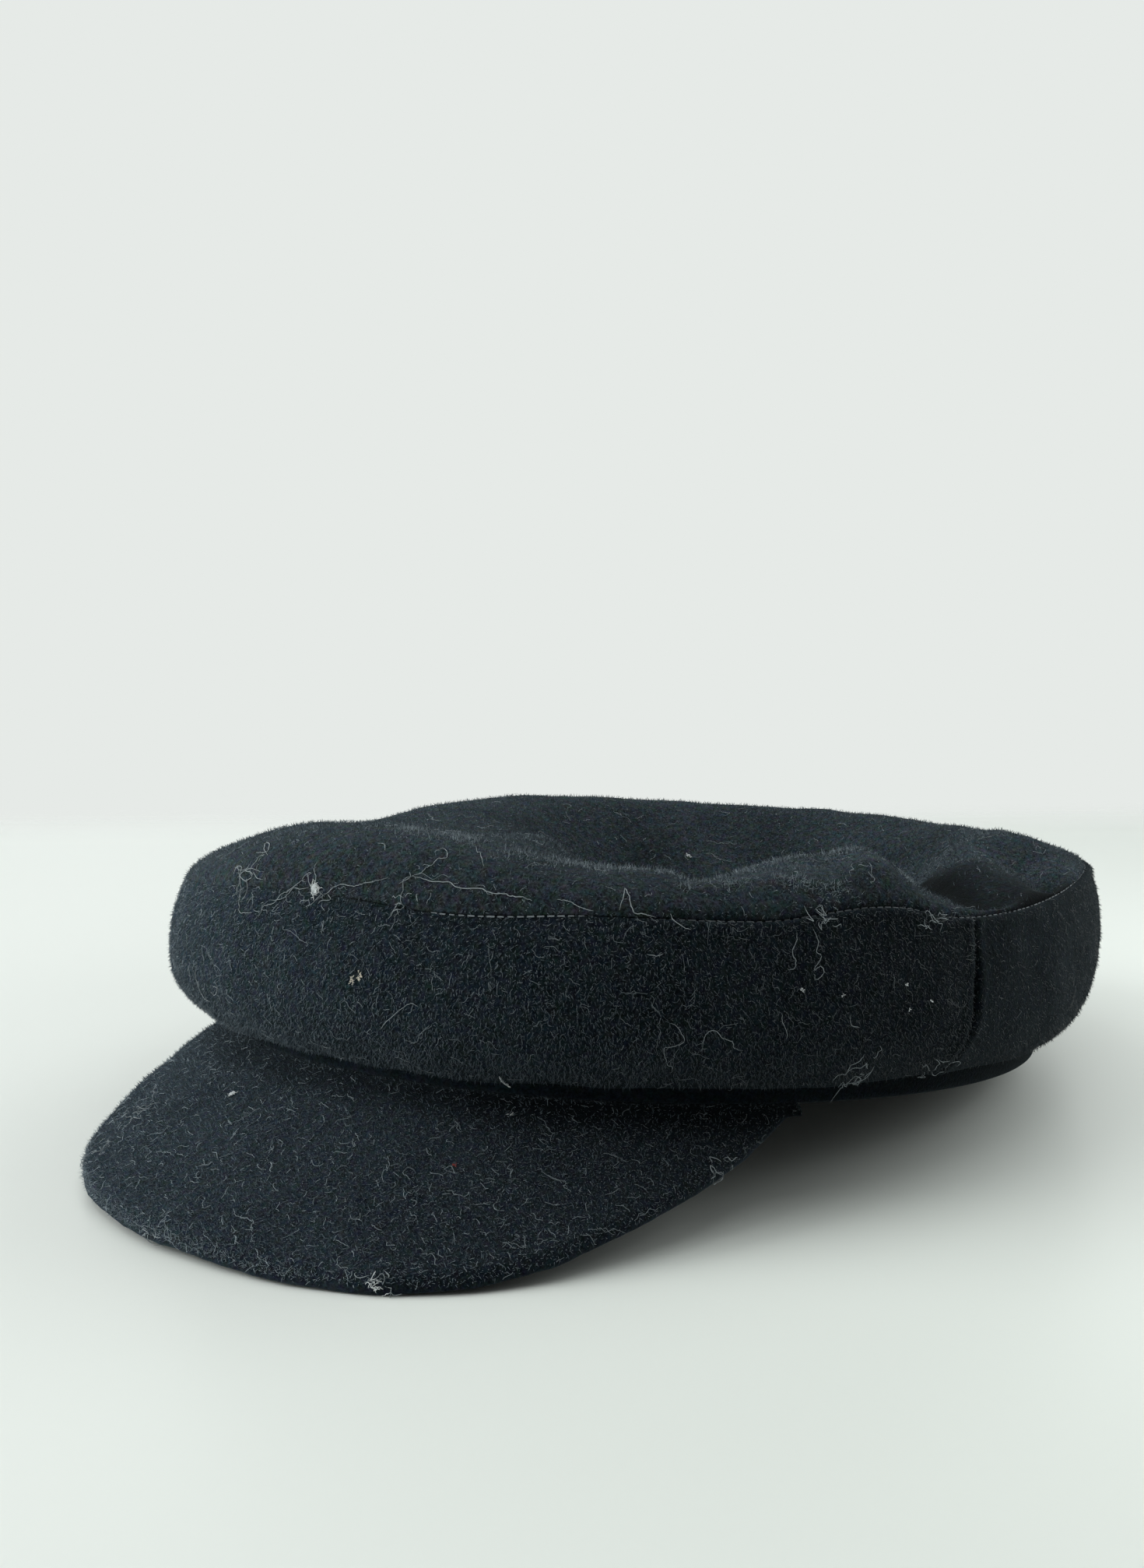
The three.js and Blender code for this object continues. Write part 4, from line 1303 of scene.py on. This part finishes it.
# Lint on the cap, each thread a line of pixels of the photograph that it passes over.
lintThreads = {
    "thread over the rim": (
        0.13, (530, 1126), (544, 1129), (559, 1133), (578, 1134), (587, 1140), (599, 1142), (617, 1142),
        (629, 1147), (647, 1149), (660, 1152), (672, 1153), (684, 1157),
    ),
    "its curled end": (
        0.1, (530, 1126), (541, 1122), (547, 1116), (558, 1110), (562, 1104), (573, 1103), (575, 1096),
        (570, 1091), (562, 1093),
    ),
    "its hanging end": (0.09, (530, 1126), (524, 1128), (519, 1131), (518, 1143), (515, 1154), (520, 1166)),
    "loop at the left": (
        0.12, (330, 1096), (339, 1096), (345, 1093), (347, 1085), (342, 1084), (340, 1091), (345, 1099),
    ),
    "drop at the left": (
        0.1, (306, 1112), (309, 1129), (310, 1145), (308, 1157), (309, 1172), (316, 1173), (325, 1172),
    ),
    "tangle at the left": (
        0.12, (306, 1127), (316, 1119), (326, 1124), (317, 1131), (309, 1125), (322, 1116), (336, 1120),
    ),
    "left of the ball": (
        0.11, (392, 1129), (383, 1135), (371, 1145), (362, 1149), (353, 1160), (340, 1164), (336, 1172),
        (333, 1178),
    ),
    "left of the ball, lower": (
        0.09, (398, 1140), (388, 1142), (378, 1141), (370, 1150), (360, 1156), (348, 1157),
    ),
    "right of the ball": (
        0.1, (407, 1157), (420, 1148), (429, 1140), (441, 1136), (450, 1138), (459, 1138), (468, 1135),
        (483, 1132), (499, 1128),
    ),
    "above the ball": (0.1, (404, 1143), (407, 1128), (404, 1118), (408, 1108)),
    "arc on the rim": (0.1, (485, 1084), (494, 1085), (495, 1093)),
    "curl on the rim": (0.09, (611, 1088), (614, 1096), (617, 1097), (622, 1114)),
    "low thread at the left": (
        0.09, (489, 1322), (496, 1313), (506, 1304), (517, 1295), (529, 1289), (538, 1293),
    ),
    "left end loop": (0.13, (254, 1240), (252, 1252), (256, 1266), (262, 1280), (271, 1286)),
    "left end curl": (0.12, (274, 1266), (280, 1269), (277, 1278), (272, 1274)),
    "bent thread": (
        0.13, (796, 1169), (800, 1156), (803, 1142), (808, 1152), (811, 1164), (815, 1173), (824, 1173),
        (834, 1176), (843, 1178),
    ),
    "short thread": (0.1, (716, 1156), (727, 1157), (736, 1160), (745, 1165), (754, 1168), (762, 1170)),
    "curl under the seam": (0.09, (830, 1226), (843, 1228), (852, 1225)),
    "slack under the seam": (0.09, (861, 1173), (867, 1184), (879, 1191), (888, 1193)),
    "upright curl": (
        0.1, (1023, 1197), (1023, 1210), (1018, 1222), (1022, 1234), (1020, 1244), (1011, 1245),
    ),
    "upright curl beside it": (
        0.1, (1045, 1194), (1051, 1210), (1049, 1222), (1055, 1228), (1046, 1246), (1054, 1241),
        (1058, 1249), (1049, 1258), (1045, 1251),
    ),
    "low curl": (0.08, (1004, 1301), (1005, 1313), (1011, 1325), (1010, 1334)),
    "hook over the hem": (
        0.09, (861, 1314), (868, 1317), (876, 1328), (879, 1337), (870, 1342), (859, 1345), (853, 1346),
        (855, 1358), (859, 1368), (864, 1369), (862, 1377),
    ),
    "wave over the hem": (
        0.09, (902, 1346), (905, 1331), (913, 1324), (922, 1325), (928, 1333), (940, 1337), (943, 1346),
        (955, 1349),
    ),
    "curl at the right": (0.08, (1092, 1304), (1093, 1316), (1104, 1319)),
    "slub at the hem": (
        0.12, (1069, 1388), (1077, 1380), (1087, 1378), (1093, 1368), (1104, 1362), (1110, 1353),
    ),
    "sliver under the side": (0.32, (641, 1381), (646, 1388), (652, 1393), (656, 1397)),
}
# Bits of lint: middle pixel, radius, number of strands and shade.
lintBits = {
    "ball on the rim": ((405, 1143), 0.8, 60, "pale"),
    "fluff round the ball": ((412, 1150), 3.4, 12, "thin"),
    "fluff at the left": ((322, 1122), 3.6, 10, "thin"),
    "fluff left of the seam": ((515, 1160), 2.2, 9, "thin"),
    "cream speck, left end": ((453, 1258), 0.4, 12, "cream"),
    "cream speck, right end": ((463, 1254), 0.5, 16, "cream"),
    "speck on the peak": ((299, 1406), 0.5, 46, "pale"),
    "fluff on the peak's edge": ((480, 1651), 1.0, 16, "pale"),
    "fluff beside it": ((490, 1648), 2.2, 8, "thin"),
    "fluff on the edge's left": ((228, 1606), 2.2, 9, "thin"),
    "fluff further left": ((196, 1588), 1.8, 7, "thin"),
    "dot in the bowl": ((885, 1099), 0.6, 10, "pale"),
    "fluff at the seam": ((1060, 1184), 2.6, 9, "thin"),
    "fluff at the side seam": ((1200, 1184), 2.2, 8, "thin"),
    "fluff at the hem": ((1105, 1380), 3.6, 12, "thin"),
    "fluff at the hem, right": ((1190, 1376), 3.6, 8, "thin"),
    "fluff at the peak's left": ((176, 1432), 3.0, 14, "thin"),
    "fluff at the peak's corner": ((124, 1482), 2.6, 10, "thin"),
    "fluff at the peak's right": ((928, 1500), 3.0, 8, "thin"),
    "dot one": ((1165, 1263), 0.28, 7, "pale"),
    "dot two": ((1196, 1285), 0.28, 7, "pale"),
    "dot three": ((1168, 1297), 0.22, 6, "pale"),
    "dot four": ((1031, 1272), 0.32, 8, "pale"),
    "dot five": ((1082, 1278), 0.22, 6, "pale"),
    "dot six": ((657, 1433), 0.32, 8, "pale"),
    "red dot": ((585, 1497), 0.3, 8, "red"),
}
lintShades = {"pale": "#d8dcde", "thin": "#8e969a", "cream": "#dcd6c8", "red": "#8a3a34"}
# A thread thicker than paleFrom takes the pale shade; tip and taper give how thin a strand's ends are and
# how soon it thickens; turn, keep and step shape the walk that a bit's strand takes over the cloth.
lintStrand = {
    "sides": 4, "lift": 0.2, "steps": 4, "wobble": 0.16 / 3, "slim": 0.62, "paleFrom": 0.14,
    "tip": 0.35, "taper": 4, "across": (0.31, 0.52, 0.79), "seed": 77,
}
lintBit = {
    "turns": 5, "keep": 0.6, "turn": 0.7, "step": 0.4, "steps": 2, "thickness": 0.06,
    "rise": 0.35, "mostRise": 1.6,
}


def smoothPath(points, steps):
    # a curve that passes through all the points
    ends = np.concatenate([[2 * points[0] - points[1]], points, [2 * points[-1] - points[-2]]])
    share = np.linspace(0, 1, steps, endpoint=False)[:, None]
    pieces = []
    for before, start, end, after in zip(ends[:-3], ends[1:-2], ends[2:-1], ends[3:]):
        bend = 2 * before - 5 * start + 4 * end - after
        twist = 3 * start - before - 3 * end + after
        pieces.append(start + (end - before) * share / 2 + bend * share**2 / 2 + twist * share**3 / 2)
    return np.concatenate(pieces + [points[-1:]])


def strandMesh(path, radius):
    # a closed round strand along a path, drawn out thin at its ends
    along = np.gradient(path, axis=0)
    along /= np.linalg.norm(along, axis=1, keepdims=True) + tiny
    side = np.cross(along, lintStrand["across"])
    side /= np.linalg.norm(side, axis=1, keepdims=True) + tiny
    other = np.cross(along, side)
    share = np.linspace(0, 1, len(path))
    toTip = np.minimum(share, 1 - share)
    thick = radius * np.minimum(1, lintStrand["tip"] + lintStrand["taper"] * toTip)
    turns = np.arange(lintStrand["sides"]) * 2 * np.pi / lintStrand["sides"]
    rings = [path + thick[:, None] * (np.cos(turn) * side + np.sin(turn) * other) for turn in turns]
    points = np.stack(rings, 1).reshape(-1, 3)
    faces = gridFaces(len(path), lintStrand["sides"], True).tolist()
    last = len(points) - lintStrand["sides"]
    faces.append(list(range(lintStrand["sides"]))[::-1])
    faces.append(list(range(last, len(points))))
    return points, faces


def clothTrees():
    graph = bpy.context.evaluated_depsgraph_get()
    return [BVHTree.FromObject(piece, graph) for piece in (crownTop, sideFront, sideBack, headBand, capPeak)]


def onCloth(trees, across, down):
    # the spot of the cloth under a pixel of the photograph, and which way the cloth faces there
    start = Vector(cameraPlace["location"]) * millimetre
    hits = [tree.ray_cast(start, rayThrough(across, down)) for tree in trees]
    hits = [hit for hit in hits if hit[0] is not None]
    if not hits:
        return None
    place, facing, _, _ = min(hits, key=lambda hit: hit[3])
    if facing.dot(start - place) < 0:
        facing = -facing
    return np.array(place) / millimetre, np.array(facing)


def nearCloth(trees, place):
    # the nearest spot of the cloth to a place, with the direction out of it
    spots = [tree.find_nearest(Vector(place * millimetre)) for tree in trees]
    spots = [spot for spot in spots if spot[0] is not None]
    near, facing, _, _ = min(spots, key=lambda spot: spot[3])
    return np.array(near) / millimetre, np.array(facing)


def threadStrands(trees, random):
    # shade, path and thickness of every thread
    strands = []
    for thickness, *pixels in lintThreads.values():
        hits = [onCloth(trees, *pixel) for pixel in pixels]
        laid = [place + facing * lintStrand["lift"] for place, facing in filter(None, hits)]
        if len(laid) < 2:
            continue
        path = smoothPath(np.array(laid), lintStrand["steps"])
        path = path + random.normal(0, lintStrand["wobble"], path.shape)
        shade = "thin" if thickness < lintStrand["paleFrom"] else "pale"
        strands.append((shade, path, thickness * lintStrand["slim"]))
    return strands


def bitStrand(trees, random, place, radius):
    # a strand that wanders over the cloth from near a place
    points = [place + random.normal(0, radius / 2, 3)]
    heading = random.normal(0, 1, 3)
    for _ in range(lintBit["turns"]):
        heading = heading * lintBit["keep"] + random.normal(0, 1, 3) * lintBit["turn"]
        points.append(points[-1] + heading / np.linalg.norm(heading) * radius * lintBit["step"])
    laid = []
    for point in points:
        near, out = nearCloth(trees, point)
        rise = random.uniform(0, lintBit["rise"]) * min(radius, lintBit["mostRise"])
        laid.append(near + out * (lintStrand["lift"] + rise))
    return smoothPath(np.array(laid), lintBit["steps"])


def bitStrands(trees, random):
    strands = []
    for pixel, radius, count, shade in lintBits.values():
        hit = onCloth(trees, *pixel)
        if hit is None:
            continue
        for _ in range(count):
            strands.append((shade, bitStrand(trees, random, hit[0], radius), lintBit["thickness"]))
    return strands


def makeLint():
    trees = clothTrees()
    random = np.random.default_rng(lintStrand["seed"])
    strands = threadStrands(trees, random) + bitStrands(trees, random)
    for shade, colour in lintShades.items():
        points, faces = [], []
        for path, thickness in ((path, thickness) for kind, path, thickness in strands if kind == shade):
            ring, sides = strandMesh(path, thickness)
            faces += [[at + len(points) for at in face] for face in sides]
            points += (ring * millimetre).tolist()
        mesh = bpy.data.meshes.new(f"lint_{shade}")
        mesh.from_pydata(points, [], faces)
        mesh.validate()
        lint = bpy.data.objects.new(f"lint_{shade}", mesh)
        bpy.context.scene.collection.objects.link(lint)
        if enclosedVolume(mesh) < 0:
            mesh.flip_normals()
        mesh.materials.append(makeFibreMaterial(f"{shade} cotton lint", colour, fibreFinish["lintSheen"]))
        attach(lint, "root")
        print("lint", shade, len(mesh.polygons), "faces")


makeLint()
